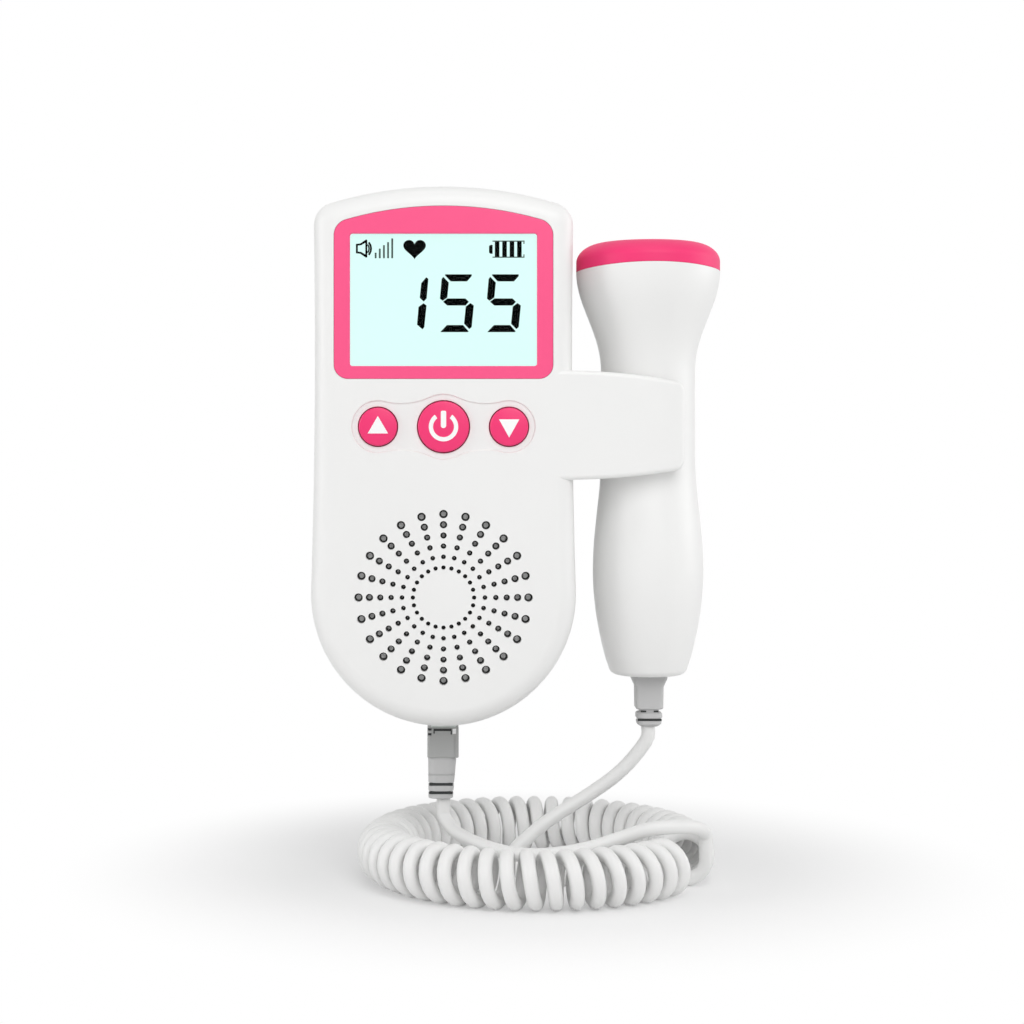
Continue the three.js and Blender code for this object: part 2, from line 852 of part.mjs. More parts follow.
function coilGeometry(stations) {
  const positions = [];
  for (const { point, tangent, toCentre } of stations) {
    const side = new THREE.Vector3().crossVectors(tangent, toCentre).normalize();
    const inward = new THREE.Vector3().crossVectors(side, tangent);
    for (let k = 0; k < curlSides; k += 1) {
      const angle = (2 * Math.PI * k) / curlSides;
      const vertex = point.clone()
        .addScaledVector(inward, -(cordDiameter / 2) * Math.cos(angle))
        .addScaledVector(side, (cordDiameter / 2) * Math.sin(angle));
      positions.push(...vertex.toArray());
    }
  }
  const indices = [];
  for (let i = 0; i + 1 < stations.length; i += 1) {
    for (let k = 0; k < curlSides; k += 1) {
      const next = (k + 1) % curlSides;
      const [a, b] = [i * curlSides + k, i * curlSides + next];
      const [c, d] = [a + curlSides, b + curlSides];
      indices.push(a, c, b, b, c, d);
    }
  }
  const end = (stations.length - 1) * curlSides;
  for (let k = 1; k + 1 < curlSides; k += 1) {
    indices.push(0, k, k + 1, end, end + k + 1, end + k);
  }
  const geometry = new THREE.BufferGeometry();
  geometry.setAttribute("position", new THREE.Float32BufferAttribute(positions, 3));
  geometry.setIndex(indices);
  return geometry;
}

// The least gap of the coil to itself, between points more than half a curl apart
function leastGap(stations) {
  let least = Infinity;
  stations.forEach((first, i) => {
    for (let j = i + curlSteps / 2; j < stations.length; j += 1) {
      const a = first.point;
      const b = stations[j].point;
      const along = b.clone().sub(a).projectOnVector(stations[j].tangent);
      const across = b.clone().sub(a).sub(along).length();
      const near = along.length() < cordDiameter;
      least = Math.min(least, near ? across : a.distanceTo(b));
    }
  });
  return least - cordDiameter;
}

const stations = coilStations();
console.log(`least gap of the curly cord to itself: ${leastGap(stations).toFixed(2)} mm`);

// Points of the free stretches, chosen by hand along the way the cord lies
const unitTailPoints = [
  [0, -17.6, -55], [2.6, -22.5, -58.2], [8.6, -31, -60], [16.9, -37.2, -61.2],
  [25.7, -39.6, -60.9], [34.9, -39.4, -59.4], [44, -38, -56.8], [48.4, -38.9, -55.2],
  [52.7, -39.6, -54.4], [58.2, -37.6, -54.6], [61.6, -34.4, -55.6],
];
const probeTailPoints = [
  [45.5, -32.6, -69.2], [38, -28.2, -69.2], [29, -26.8, -69.2], [21, -25.6, -68.8],
  [16.6, -23.8, -66.4], [17.4, -22.6, -63.3], [20.4, -21.4, -60.6], [24.2, -20, -57.6],
  [28.6, -18.8, -54.7], [36.3, -17.6, -50.1], [43.4, -17.5, -45], [48.2, -17.5, -40],
];

function along(station, distance) {
  return station.point.clone().addScaledVector(station.tangent, distance);
}

function tube(points) {
  const curve = new THREE.CatmullRomCurve3(points, false, "centripetal");
  const section = new THREE.Shape(
    arc(0, 0, cordDiameter / 2, 0, 2 * Math.PI, cordSides).slice(0, -1),
  );
  const steps = Math.round(curve.getLength() / (2 * cordDiameter));
  return solid(new THREE.ExtrudeGeometry(section, { steps, extrudePath: curve }));
}

// Hand unit
const monitor = new THREE.Group();
const unit = new THREE.Group();
monitor.add(unit);

addPiece(unit, "front_shell", frontShell(), white);
addPiece(unit, "rear_shell", rearShell(), white);

const bezelOpening = rectangle(windowWidth / 2, windowBase, windowTop, fit, 1);
const bezel = plate(bezelOutline(0), front, bezelBack)
  .subtract(plate(bezelOpening, front - overrun, bezelBack + overrun));
addPiece(unit, "display_bezel", bezel, pink);
addPiece(unit, "display_window",
  sheet(lensHalf, windowBase - lensLap, windowTop + lensLap, lensFront, lensBack), clear);
addPiece(unit, "lcd_glass", sheet(glassHalf, glassBase, glassTop, glassFront, glassBack), paleGlass);
addPiece(unit, "lcd_backlight",
  sheet(glassHalf, connectorTop + fit, glassTop, backlightFront, backlightBack), diffuser);
addPiece(unit, "lcd_connector",
  sheet(glassHalf, glassBase, connectorTop, backlightFront, backlightBack), black);
addPiece(unit, "main_board", sheet(glassHalf, boardBase, glassTop, boardFront, boardBack), board);

for (const control of controls) {
  const { name, x, radius } = control;
  addPiece(unit, `button_${name}`, buttonCap(radius, x), pinkButton);
  addPiece(unit, `switch_plunger_${name}`,
    rodY(plungerRadius, plungerFront, plungerBack, x, buttonZ, 10), black);
  addPiece(unit, `switch_body_${name}`, switchBody(x), black);
}

addPiece(unit, "grille_mesh",
  rodY(speakerRadius, innerFront + fit, dustMeshBack, 0, 0, 32), paper);
addPiece(unit, "speaker_frame", speakerFrame(), steel);
addPiece(unit, "speaker_cone", speakerCone(), paper);
addPiece(unit, "speaker_magnet",
  rodY(magnetRadius, frameBack + fit, frameBack + fit + magnetDepth, 0, 0, 24), steel);

addPiece(unit, "battery_door", batteryDoor(), white);
const cellBase = bayBase + endStack + springLength + fit;
const contactTop = bayTop - fit - contactThickness;
const sides = [
  { name: "left", x: -cellX, up: true, cellZ: cellBase, springZ: bayBase + endStack },
  { name: "right", x: cellX, up: false, cellZ: bayBase + endStack,
    springZ: contactTop - fit - springLength },
];
for (const { name, x, up, cellZ, springZ } of sides) {
  addPiece(unit, `battery_cell_${name}`, cell(up), cellSkin).position.set(x, cellY, cellZ);
  addPiece(unit, `battery_spring_${name}`, contactSpring(up), steel).position.set(x, cellY, springZ);
  const half = cellRadius - contactInset;
  const contact = block(-half, half, -half, half, 0, contactThickness);
  addPiece(unit, `contact_plate_${name}`, contact, steel).position.set(x, cellY, contactTop);
}
const bridgeHalf = bayHalf - fit;
addPiece(unit, "contact_bridge", block(
  -bridgeHalf, bridgeHalf, cellY - cellRadius / 2, cellY + cellRadius / 2,
  bayBase + fit, bayBase + fit + contactThickness,
), steel);

screwPlaces.forEach(([x, z], i) => {
  const screw = turnedY([
    [0, screwTip], [screwRadius, screwTip], [screwRadius, screwHeadFront],
    [screwHeadRadius, screwHeadFront], [screwHeadRadius, screwHeadBack], [0, screwHeadBack],
  ], x, z, 12);
  addPiece(unit, `casing_screw_${i + 1}`, screw, steel);
});

addPiece(unit, "line_socket", lineSocket(), black);
const plugTop = bodyBottom - plugGap;
const plugBase = plugTop - plugHeight;
const plugBody = squareColumn(plugWidth / 2, plugWidth / 2, plugBase, plugTop)
  .add(squareColumn(noseHalf, noseHalf, plugTop - overrun, noseTop));
addPiece(unit, "line_plug", plugBody, greyPlug);
const bootTop = plugBase - fit;
addPiece(unit, "line_boot",
  grooved(bootTopRadius, bootTipRadius, bootTop, bootLength, bootGroove, 3), greyPlug)
  .position.set(0, middleY, 0);

// Probe
const probe = new THREE.Group();
probe.position.set(probeX, middleY, probeFootZ);
monitor.add(probe);

const probeShell = probeTube();
const farSide = headRadius + overrun;
const nearHalf = block(-farSide, farSide, -farSide, -fit / 2, -overrun, probeLength);
const farHalf = block(-farSide, farSide, fit / 2, farSide, -overrun, probeLength);
addPiece(probe, "probe_shell_front", probeShell.intersect(nearHalf), white);
addPiece(probe, "probe_shell_rear", probeShell.intersect(farHalf), white);
addPiece(probe, "probe_cap", probeCap(), pink);
addPiece(probe, "transducer_send", crystal(1), ceramic);
addPiece(probe, "transducer_receive", crystal(-1), ceramic);
const backingRadius = headRadius - probeWall - fit;
addPiece(probe, "transducer_backing", turnedZ([
  [0, backingTop - backingThickness], [backingRadius - capRound / 2, backingTop - backingThickness],
  [backingRadius, backingTop - backingThickness / 2], [backingRadius - capRound / 2, backingTop],
  [0, backingTop],
], 24), black);
const probeBoardHalf = Math.sqrt((waistRadius - probeWall) ** 2 - (boardThickness / 2) ** 2) - fit;
addPiece(probe, "probe_board", block(
  -probeBoardHalf, probeBoardHalf, -boardThickness / 2, boardThickness / 2,
  probeBoardLift, probeBoardLift + probeBoardLength,
), board);
addPiece(probe, "probe_socket", probeSocket(), black);
addPiece(probe, "probe_plug", probePlug(), greyPlug);
const probeBootTop = -2 * fit - probePlugHeight;
addPiece(probe, "probe_boot", grooved(
  probeBootRadius, probeBootRadius, probeBootTop, probeBootLength, probeBootGroove, 2,
), greyPlug);

// Cord between the unit and the probe
const cord = new THREE.Group();
monitor.add(cord);

addPiece(cord, "cord_coil", solid(coilGeometry(stations)), greyCord);
const [coilStart, coilEnd] = [stations[0], stations.at(-1)];
const vector = ([x, y, z]) => new THREE.Vector3(x, y, z);
const bootEnd = new THREE.Vector3(0, middleY, bootTop - bootLength);
const down = new THREE.Vector3(0, 0, -1);
addPiece(cord, "cord_unit_tail", tube([
  bootEnd.clone().addScaledVector(down, fit),
  bootEnd.clone().addScaledVector(down, fit + tailLead),
  ...unitTailPoints.map(vector),
  along(coilStart, -fit - tailLead),
  along(coilStart, -fit),
]), greyCord);
const probeBootEnd = new THREE.Vector3(
  probeX, middleY, probeFootZ + probeBootTop - probeBootLength,
);
addPiece(cord, "cord_probe_tail", tube([
  along(coilEnd, fit),
  along(coilEnd, fit + tailLead),
  ...probeTailPoints.map(vector),
  probeBootEnd.clone().addScaledVector(down, fit + tailLead),
  probeBootEnd.clone().addScaledVector(down, fit),
]), greyCord);

export default monitor;
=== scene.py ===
import math

import bmesh
import bpy
from mathutils import Matrix, Vector


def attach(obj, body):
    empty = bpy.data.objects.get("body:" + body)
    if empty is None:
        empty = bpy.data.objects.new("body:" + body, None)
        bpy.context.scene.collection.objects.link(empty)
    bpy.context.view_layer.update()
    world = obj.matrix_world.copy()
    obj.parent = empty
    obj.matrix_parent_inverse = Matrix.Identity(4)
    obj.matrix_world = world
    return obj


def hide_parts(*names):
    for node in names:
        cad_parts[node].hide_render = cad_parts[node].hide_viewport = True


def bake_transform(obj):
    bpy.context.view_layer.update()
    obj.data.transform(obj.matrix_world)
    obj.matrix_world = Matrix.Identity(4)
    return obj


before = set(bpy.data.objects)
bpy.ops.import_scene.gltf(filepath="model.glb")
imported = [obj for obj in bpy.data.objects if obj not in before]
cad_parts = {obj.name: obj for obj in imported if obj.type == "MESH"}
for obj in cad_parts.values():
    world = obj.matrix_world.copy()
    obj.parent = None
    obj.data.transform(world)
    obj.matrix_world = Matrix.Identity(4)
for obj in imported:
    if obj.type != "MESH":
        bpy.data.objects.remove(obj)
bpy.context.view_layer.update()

mm = 0.001
scene = bpy.context.scene
scene.view_settings.view_transform = "Standard"

# Sizes that several pieces share, in millimetres as all lengths here until a mesh is finished
fit = 0.3
front = -35
middleY = -17.5
wall = 2.2
over = 1        # how far a cut runs past what it cuts
weld = 1e-5     # points nearer than this become one


def addObject(name, data):
    made = bpy.data.objects.new(name, data)
    scene.collection.objects.link(made)
    return made


# Camera, level and in line with the photograph
cameraSetup = {
    "distance": 520,    # to the plane through the probe's axis
    "height": 35,
    "field": 256,       # width of the picture at that plane
    "sensor": 36,
    "shiftX": 0.0669,
    "shiftY": -0.0566,
    "nearest": 10,
}


def makeCamera(c):
    data = bpy.data.cameras.new("photoCamera")
    data.sensor_width = c["sensor"]
    data.lens = c["sensor"] * c["distance"] / c["field"]
    data.shift_x = c["shiftX"]
    data.shift_y = c["shiftY"]
    data.clip_start = c["nearest"] * mm
    camera = addObject("photoCamera", data)
    camera.location = Vector((0, middleY - c["distance"], c["height"])) * mm
    camera.rotation_euler = (math.radians(90), 0, 0)
    scene.camera = camera


makeCamera(cameraSetup)
print("camera set")


# Materials
def linear(hexColour):
    channels = [int(hexColour[i:i + 2], 16) / 255 for i in (1, 3, 5)]
    return [c / 12.92 if c <= 0.04045 else ((c + 0.055) / 1.055) ** 2.4 for c in channels] + [1]


def addNode(tree, kind, settings=None, links=None):
    node = tree.nodes.new(kind)
    for key, value in (settings or {}).items():
        if isinstance(key, str) and hasattr(node, key):
            setattr(node, key, value)
        else:
            node.inputs[key].default_value = value
    for key, source in (links or {}).items():
        socket = source.outputs[0] if hasattr(source, "outputs") else source
        tree.links.new(socket, node.inputs[key])
    return node


def newMaterial(name, settings):
    material = bpy.data.materials.new(name)
    material.use_nodes = True
    shader = material.node_tree.nodes["Principled BSDF"]
    for key, value in settings.items():
        shader.inputs[key].default_value = value
    return material, material.node_tree, shader


# Colour, shade in the cloudy parts, roughness and size of the surface grain of each plain material
plastics = {
    # Spark-eroded ABS of the casings: bright and satin, so that edges roll off softly
    "absShell": ("#f4f4f3", "#efefee", 0.38, 0.35),
    # Polished ABS of the display frame: one clean sheen
    "absBezel": ("#ff568d", "#fb5088", 0.24, 0.9),
    # Satin ABS of the buttons: deeper than the frame and a little softer
    "absButton": ("#f83076", "#f12b70", 0.36, 0.5),
    # The same ABS on the probe's cap, spark-eroded so that its sheen spreads
    "absCap": ("#f83076", "#f12b70", 0.52, 0.5),
    # Printed ink of the button signs
    "whiteInk": ("#ffffff", "#fafafa", 0.5, 0.4),
    # Black nylon of sockets and switches
    "blackNylon": ("#222222", "#1a1a1a", 0.5, 0.4),
    # Acrylic light guide behind the display
    "lightGuide": ("#f4fffe", "#eaf8f6", 0.4, 0.8),
    # Polycarbonate of the plugs, darker than their soft boots
    "plugBody": ("#b1b2b1", "#a8a9a8", 0.36, 0.5),
    "plugBoot": ("#c9c9c9", "#c0c0c0", 0.5, 0.5),
    # Painted shade: dark colour at the bottom of the pits of plugs and boots, where deep shade falls
    "paintedPitShade": ("#262a2a", "#1e2121", 0.5, 0.4),
    # Clear polycarbonate of the plug's nose, milky where it is thick
    "plugNose": ("#eef4f0", "#e4ebe7", 0.25, 0.6),
    # Soft PVC of the cord
    "cordPvc": ("#f1f1f0", "#eaeae9", 0.42, 0.6),
    # Glass-cloth board under green solder mask
    "boardMask": ("#2c6b3f", "#235934", 0.32, 1.2),
    # Fired ceramic of the crystals
    "ceramic": ("#e8e0c8", "#ddd3b6", 0.6, 0.3),
    # Shrunk film sleeve of the cells
    "cellSleeve": ("#3c4450", "#353c47", 0.3, 1.5),
    # Rubbery backing behind the crystals and paper of the speaker's cone
    "darkPaper": ("#3a3a3c", "#2f2f31", 0.85, 0.3),
}


# Cloud size in millimetres, detail of clouds and grain, spread of the roughness, bumps of the grain
moulding = {"cloud": 40, "cloudDetail": 3.0, "grainDetail": 4.0, "spread": 0.04, "bump": 0.1,
            "bumpHeight": 0.02}


def mouldedPlastic(name, colour, shade, roughness, grain):
    m = moulding
    material, tree, shader = newMaterial(name, {"IOR": 1.5})
    place = addNode(tree, "ShaderNodeTexCoord").outputs["Object"]
    cloud, fine = [
        addNode(tree, "ShaderNodeTexNoise", {"Scale": 1 / (size * mm), "Detail": detail}, {"Vector": place})
        for size, detail in ((m["cloud"], m["cloudDetail"]), (grain, m["grainDetail"]))]
    tint = addNode(tree, "ShaderNodeMix", {"data_type": "RGBA", 6: linear(shade), 7: linear(colour)},
                   {0: cloud})
    tree.links.new(tint.outputs[2], shader.inputs["Base Color"])
    gloss = addNode(tree, "ShaderNodeMapRange", {3: roughness - m["spread"], 4: roughness + m["spread"]},
                    {0: fine})
    tree.links.new(gloss.outputs[0], shader.inputs["Roughness"])
    bump = addNode(tree, "ShaderNodeBump", {"Strength": m["bump"], "Distance": m["bumpHeight"] * mm},
                   {"Height": fine})
    tree.links.new(bump.outputs[0], shader.inputs["Normal"])
    return material


materials = {name: mouldedPlastic(name, *values) for name, values in plastics.items()}


# Clear acrylic with an anti-glare coat over the display: only faint reflections show
acrylic = {"IOR": 1.49, "colour": "#fbfffe", "roughness": 0.06, "coat": 0.12}


def clearAcrylic():
    a = acrylic
    material, tree, shader = newMaterial("clearAcrylic", {})
    bend = addNode(tree, "ShaderNodeFresnel", {"IOR": a["IOR"]})
    through = addNode(tree, "ShaderNodeBsdfTransparent", {"Color": linear(a["colour"])})
    mirror = addNode(tree, "ShaderNodeBsdfGlossy", {"Roughness": a["roughness"]})
    coated = addNode(tree, "ShaderNodeMath", {"operation": "MULTIPLY", 1: a["coat"]}, {0: bend})
    both = addNode(tree, "ShaderNodeMixShader", None, {0: coated, 1: through, 2: mirror})
    tree.links.new(both.outputs[0], tree.nodes["Material Output"].inputs["Surface"])
    tree.nodes.remove(shader)
    return material


# Lit liquid-crystal panel: pale cyan light of its own, a touch deeper in clouds of 33 mm
panel = {"face": "#39494a", "roughness": 0.3, "glow": 0.96, "cloud": 33.33, "light": ("#def8f5", "#e3fdfa")}


def litPanel():
    p = panel
    material, tree, shader = newMaterial("litPanel", {
        "Roughness": p["roughness"], "Base Color": linear(p["face"]), "Emission Strength": p["glow"]})
    place = addNode(tree, "ShaderNodeTexCoord").outputs["Object"]
    cloud = addNode(tree, "ShaderNodeTexNoise", {"Scale": 1 / (p["cloud"] * mm), "Detail": 1.0},
                    {"Vector": place})
    deep, pale = [linear(colour) for colour in p["light"]]
    tint = addNode(tree, "ShaderNodeMix", {"data_type": "RGBA", 6: deep, 7: pale}, {0: cloud})
    tree.links.new(tint.outputs[2], shader.inputs["Emission Color"])
    return material


# Woven dust cloth behind the grille: pale threads 0.35 mm apart with darker crossings
cloth = {"roughness": 0.8, "thread": 0.349, "colours": ("#b4b5b6", "#f0f0f0")}


def dustCloth():
    c = cloth
    material, tree, shader = newMaterial("dustCloth", {"Roughness": c["roughness"]})
    place = addNode(tree, "ShaderNodeTexCoord").outputs["Object"]
    # A band texture of scale 1 has 20 radians a metre
    bands = 2 * math.pi / 20 / (c["thread"] * mm)
    waves = [addNode(tree, "ShaderNodeTexWave", {"bands_direction": axis, "Scale": bands},
                     {"Vector": place}) for axis in ("X", "Z")]
    weave = addNode(tree, "ShaderNodeMath", {"operation": "MAXIMUM"}, {0: waves[0], 1: waves[1]})
    dark, pale = [linear(colour) for colour in c["colours"]]
    tint = addNode(tree, "ShaderNodeMix", {"data_type": "RGBA", 6: dark, 7: pale}, {0: weave})
    tree.links.new(tint.outputs[2], shader.inputs["Base Color"])
    return material


# Nickel-plated steel with fine drawing marks
plating = {"colour": "#c8c8cc", "marks": 0.333, "roughness": (0.22, 0.36)}


def platedSteel():
    p = plating
    material, tree, shader = newMaterial(
        "platedSteel", {"Metallic": 1.0, "Base Color": linear(p["colour"])})
    place = addNode(tree, "ShaderNodeTexCoord").outputs["Object"]
    drawn = addNode(tree, "ShaderNodeTexNoise", {"Scale": 1 / (p["marks"] * mm), "Detail": 2.0},
                    {"Vector": place})
    low, high = p["roughness"]
    gloss = addNode(tree, "ShaderNodeMapRange", {3: low, 4: high}, {0: drawn})
    tree.links.new(gloss.outputs[0], shader.inputs["Roughness"])
    return material


materials.update(
    clearAcrylic=clearAcrylic(), litPanel=litPanel(), dustCloth=dustCloth(), steel=platedSteel())


# Dark crystal of the signs, which polarised light leaves nearly black
for name, colour in (("lcdInk", "#020303"), ("lcdGrey", "#56625f")):
    materials[name] = newMaterial(name, {
        "Roughness": 0.6, "Specular IOR Level": 0.0, "Base Color": linear(colour)})[0]

# CAD pieces that keep their shape, by material
keptNodes = {
    "clearAcrylic": ["display_window"],
    "litPanel": ["lcd_glass"],
    "lightGuide": ["lcd_backlight"],
    "blackNylon": ["lcd_connector", "line_socket", "probe_socket"]
    + [f"switch_{part}_{key}" for part in ("body", "plunger") for key in ("up", "power", "down")],
    "boardMask": ["main_board", "probe_board"],
    "dustCloth": ["grille_mesh"],
    "darkPaper": ["speaker_cone", "transducer_backing"],
    "ceramic": ["transducer_send", "transducer_receive"],
    "steel": ["speaker_frame", "speaker_magnet", "contact_bridge"]
    + ["contact_plate_left", "contact_plate_right"],
}
for materialName, nodes in keptNodes.items():
    for node in nodes:
        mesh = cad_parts[node].data
        for index in range(max(len(mesh.materials), 1)):
            if mesh.materials:
                mesh.materials[index] = materials[materialName]
            else:
                mesh.materials.append(materials[materialName])
print("materials ready")


# A piece from points and faces, with doubled points merged and its faces turned outwards
def solid(name, points, faces):
    mesh = bpy.data.meshes.new(name)
    mesh.from_pydata(points, [], faces)
    work = bmesh.new()
    work.from_mesh(mesh)
    bmesh.ops.remove_doubles(work, verts=work.verts, dist=weld)
    bmesh.ops.recalc_face_normals(work, faces=work.faces)
    work.to_mesh(mesh)
    work.free()
    return addObject(name, mesh)


# A skin over rings of equally many points, closed by caps or by running on from last to first
def loft(name, rings, closed=False):
    n = len(rings[0])
    faces = []
    for i in range(len(rings) if closed else len(rings) - 1):
        a, b = i * n, (i + 1) % len(rings) * n
        faces += [(a + k, a + (k + 1) % n, b + (k + 1) % n, b + k) for k in range(n)]
    if not closed:
        last = (len(rings) - 1) * n
        faces += [tuple(range(n)), tuple(range(last, last + n))]
    return solid(name, [p for ring in rings for p in ring], faces)


# Points along an arc, from one angle to another
def arc(x, z, radius, start, end, steps):
    angles = [start + (end - start) * i / steps for i in range(steps + 1)]
    return [(x + radius * math.cos(a), z + radius * math.sin(a)) for a in angles]


def mirrored(points):
    return [(-x, z) for x, z in reversed(points)]


# Angles of a quarter turn
def quarter(steps=8):
    return [math.pi / 2 * i / steps for i in range(steps + 1)]


# A plate seen from the front; its outline is a function of an inset, and its front edge may be rounded
def plate(name, outlineAt, near, far, rounding=0):
    rings = [(0, far)]
    if rounding:
        rings += [(rounding * (1 - math.cos(a)), near + rounding * (1 - math.sin(a)))
                  for a in quarter()]
    else:
        rings.append((0, near))
    return loft(name, [[(x, y, z) for x, z in outlineAt(inset)] for inset, y in rings])


def corners(x0, x1, z0, z1):
    return [(x0, z0), (x1, z0), (x1, z1), (x0, z1)]


def block(name, x0, x1, y0, y1, z0, z1):
    return plate(name, lambda inset: corners(x0, x1, z0, z1), y0, y1)


# A round piece from pairs of radius and place along Y or Z
def turned(name, pairs, centre, axis, segments=64, closed=False):
    x, y, z = centre
    around = [(math.cos(a), math.sin(a)) for a in
              (2 * math.pi * i / segments for i in range(segments))]
    if axis == "Y":
        rings = [[(x + r * c, y + h, z + r * s) for c, s in around] for r, h in pairs]
    else:
        rings = [[(x + r * c, y + r * s, z + h) for c, s in around] for r, h in pairs]
    return loft(name, rings, closed)


def rectangle(half, base, top, corner, steps=8):
    right = arc(half - corner, base + corner, corner, -math.pi / 2, 0, steps) \
        + arc(half - corner, top - corner, corner, 0, math.pi / 2, steps)
    return right + mirrored(right)


def bake(piece):
    graph = bpy.context.evaluated_depsgraph_get()
    mesh = bpy.data.meshes.new_from_object(piece.evaluated_get(graph))
    piece.modifiers.clear()
    piece.data = mesh


def combine(piece, operation, *tools):
    for tool in tools:
        change = piece.modifiers.new(operation, "BOOLEAN")
        change.operation = operation
        change.solver = "MANIFOLD"
        change.object = tool
        bake(piece)
        bpy.data.objects.remove(tool)
    return piece


# Scales a piece to metres, shades it, gives it its materials and lets it ride on its body
def dress(piece, materialName, body, nodes=(), angle=32):
    piece.data.transform(Matrix.Scale(mm, 4))
    piece.data.shade_smooth()
    piece.data.set_sharp_from_angle(angle=math.radians(angle))
    level = piece.modifiers.new("level", "WEIGHTED_NORMAL")
    level.keep_sharp = True
    bake(piece)
    if materialName:
        piece.data.materials.clear()
        piece.data.materials.append(materials[materialName])
    if body:
        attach(piece, body)
    if nodes:
        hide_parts(*nodes)
    return piece


# Outlines of the casing and of the display frame, at an inset from their edge
bezelShape = {"half": 26.5, "base": 53.2, "top": 95.0, "arch": 86, "topCorner": 4, "baseCorner": 3.4,
              "cornerSteps": 10, "archSteps": 30}
bodyShape = {"half": 31.6, "low": 32.3, "lowCentre": 1.05, "dip": 0.2, "top": 100.15, "arch": 96,
             "corner": 5.7, "edge": 4.5, "footSteps": 64, "sideSteps": 24, "cornerSteps": 14,
             "archSteps": 30, "edgeSteps": 12}


def archRight(half, apex, arch, corner, cornerSteps, archSteps):
    archZ = apex - arch
    cornerX = half - corner
    cornerZ = archZ + math.sqrt((arch - corner) ** 2 - cornerX ** 2)
    lean = math.atan2(cornerZ - archZ, cornerX)
    return arc(cornerX, cornerZ, corner, 0, lean, cornerSteps) \
        + arc(0, archZ, arch, lean, math.pi / 2, archSteps)[1:]


def bezelOutline(inset):
    b = bezelShape
    half, corner = b["half"] - inset, b["baseCorner"] - inset
    right = arc(half - corner, b["base"] + inset + corner, corner, -math.pi / 2, 0, b["cornerSteps"]) \
        + archRight(half, b["top"] - inset, b["arch"] - inset, b["topCorner"] - inset,
                    b["cornerSteps"], b["archSteps"])
    return right + mirrored(right)[1:]


def bodyOutline(inset):
    b = bodyShape
    low, half = b["low"] - inset, b["half"] - inset
    top = archRight(half, b["top"] - inset, b["arch"] - inset, max(b["corner"] - inset, fit),
                    b["cornerSteps"], b["archSteps"])
    waist = 2 * (half - b["dip"]) - (low + half) / 2
    centre, high = b["lowCentre"], top[0][1]
    side = []
    for i in range(1, b["sideSteps"]):
        t = i / b["sideSteps"]
        side.append((low * (1 - t) ** 2 + 2 * waist * t * (1 - t) + half * t * t,
                     centre * (1 - t) ** 2 + high * t))
    right = arc(0, centre, low, -math.pi / 2, 0, b["footSteps"]) + side + top
    return right + mirrored(right)[1:-1]


# The casing's rounded block, or the room in it when the skin is the wall
def bodyBlock(name, skin):
    edge = bodyShape["edge"]
    rounding = edge - skin
    back = [(edge - rounding * math.sin(a), -skin - rounding * (1 - math.cos(a)))
            for a in quarter(bodyShape["edgeSteps"])]
    rings = back + [(inset, -y + front) for inset, y in reversed(back)]
    return loft(name, [[(x, y, z) for x, z in bodyOutline(inset)] for inset, y in rings])


# Holder arm: rounded sections along X, in front of the probe's waist or mirrored behind it; its edges
# bend from root to tip, and its inner side leaves the seat free for the waist
armShape = {
    "root": 24.9, "axis": 51.1, "seat": 12.39, "flatEnd": 49.5, "tip": 58.7, "tipBack": 2,
    "base": (28.7, 30.9), "top": (55.3, 52.8), "bend": 2.4, "corner": 2.9, "overlap": 0.5,
    "outer": 1.1, "inner": 0.5, "leastOuter": 0.05, "leastInner": 0.02,
    "turnSteps": 7, "runSteps": 8, "seatSteps": 36, "cornerAngle": 1.2, "cornerSteps": 12, "tipFlat": 0.9,
}


def holderArm(name, side):
    a = armShape
    bendEnd = a["tip"] - a["corner"]

    def edgeAt(x, ends):
        share = min((x - a["root"]) / (bendEnd - a["root"]), 1)
        return ends[0] + (ends[1] - ends[0]) * share ** a["bend"]

    def section(x, shrink):
        past = max(x - bendEnd, 0)
        drop = a["corner"] - math.sqrt(a["corner"] ** 2 - min(past, a["corner"]) ** 2)
        low, high = edgeAt(x, a["base"]) + drop + shrink, edgeAt(x, a["top"]) - drop - shrink
        near = max((x - a["flatEnd"]) / (a["tip"] - a["flatEnd"]), 0) ** 2 * a["tipBack"] + shrink
        reach = a["seat"] ** 2 - min(x - a["axis"], 0) ** 2
        far = middleY - front + (a["overlap"] if reach <= 0 else -math.sqrt(reach)) - shrink
        outer = max(a["outer"] - shrink, a["leastOuter"])
        inner = max((a["inner"] if reach > 0 else a["leastOuter"]) - shrink, a["leastInner"])
        turns = [(near + outer, low + outer, outer, math.pi),
                 (far - inner, low + inner, inner, 1.5 * math.pi),
                 (far - inner, high - inner, inner, 0),
                 (near + outer, high - outer, outer, math.pi / 2)]
        ring = [p for y, z, radius, start in turns
                for p in arc(y, z, radius, start, start + math.pi / 2, a["turnSteps"])]
        return [(x, front + y if side < 0 else -y, z) for y, z in ring]

    def run(start, end):
        return [start + (end - start) * i / a["runSteps"] for i in range(a["runSteps"] + 1)]

    last, full, n = a["corner"] - a["outer"], a["cornerAngle"], a["cornerSteps"]
    stations = run(a["root"], a["axis"] - a["seat"])
    stations += [a["axis"] - a["seat"] * math.cos(t) for t in quarter(a["seatSteps"])[1:]]
    stations += run(a["axis"], bendEnd)[1:]
    stations += [bendEnd + last * math.sin(full * i / n) / math.sin(full) for i in range(1, n + 1)]
    rings = [section(x, 0) for x in stations]
    rings += [section(bendEnd + last + a["outer"] * math.sin(t),
                      a["outer"] * (1 - math.cos(t)) * a["tipFlat"]) for t in quarter()[1:]]
    return loft(name, rings)


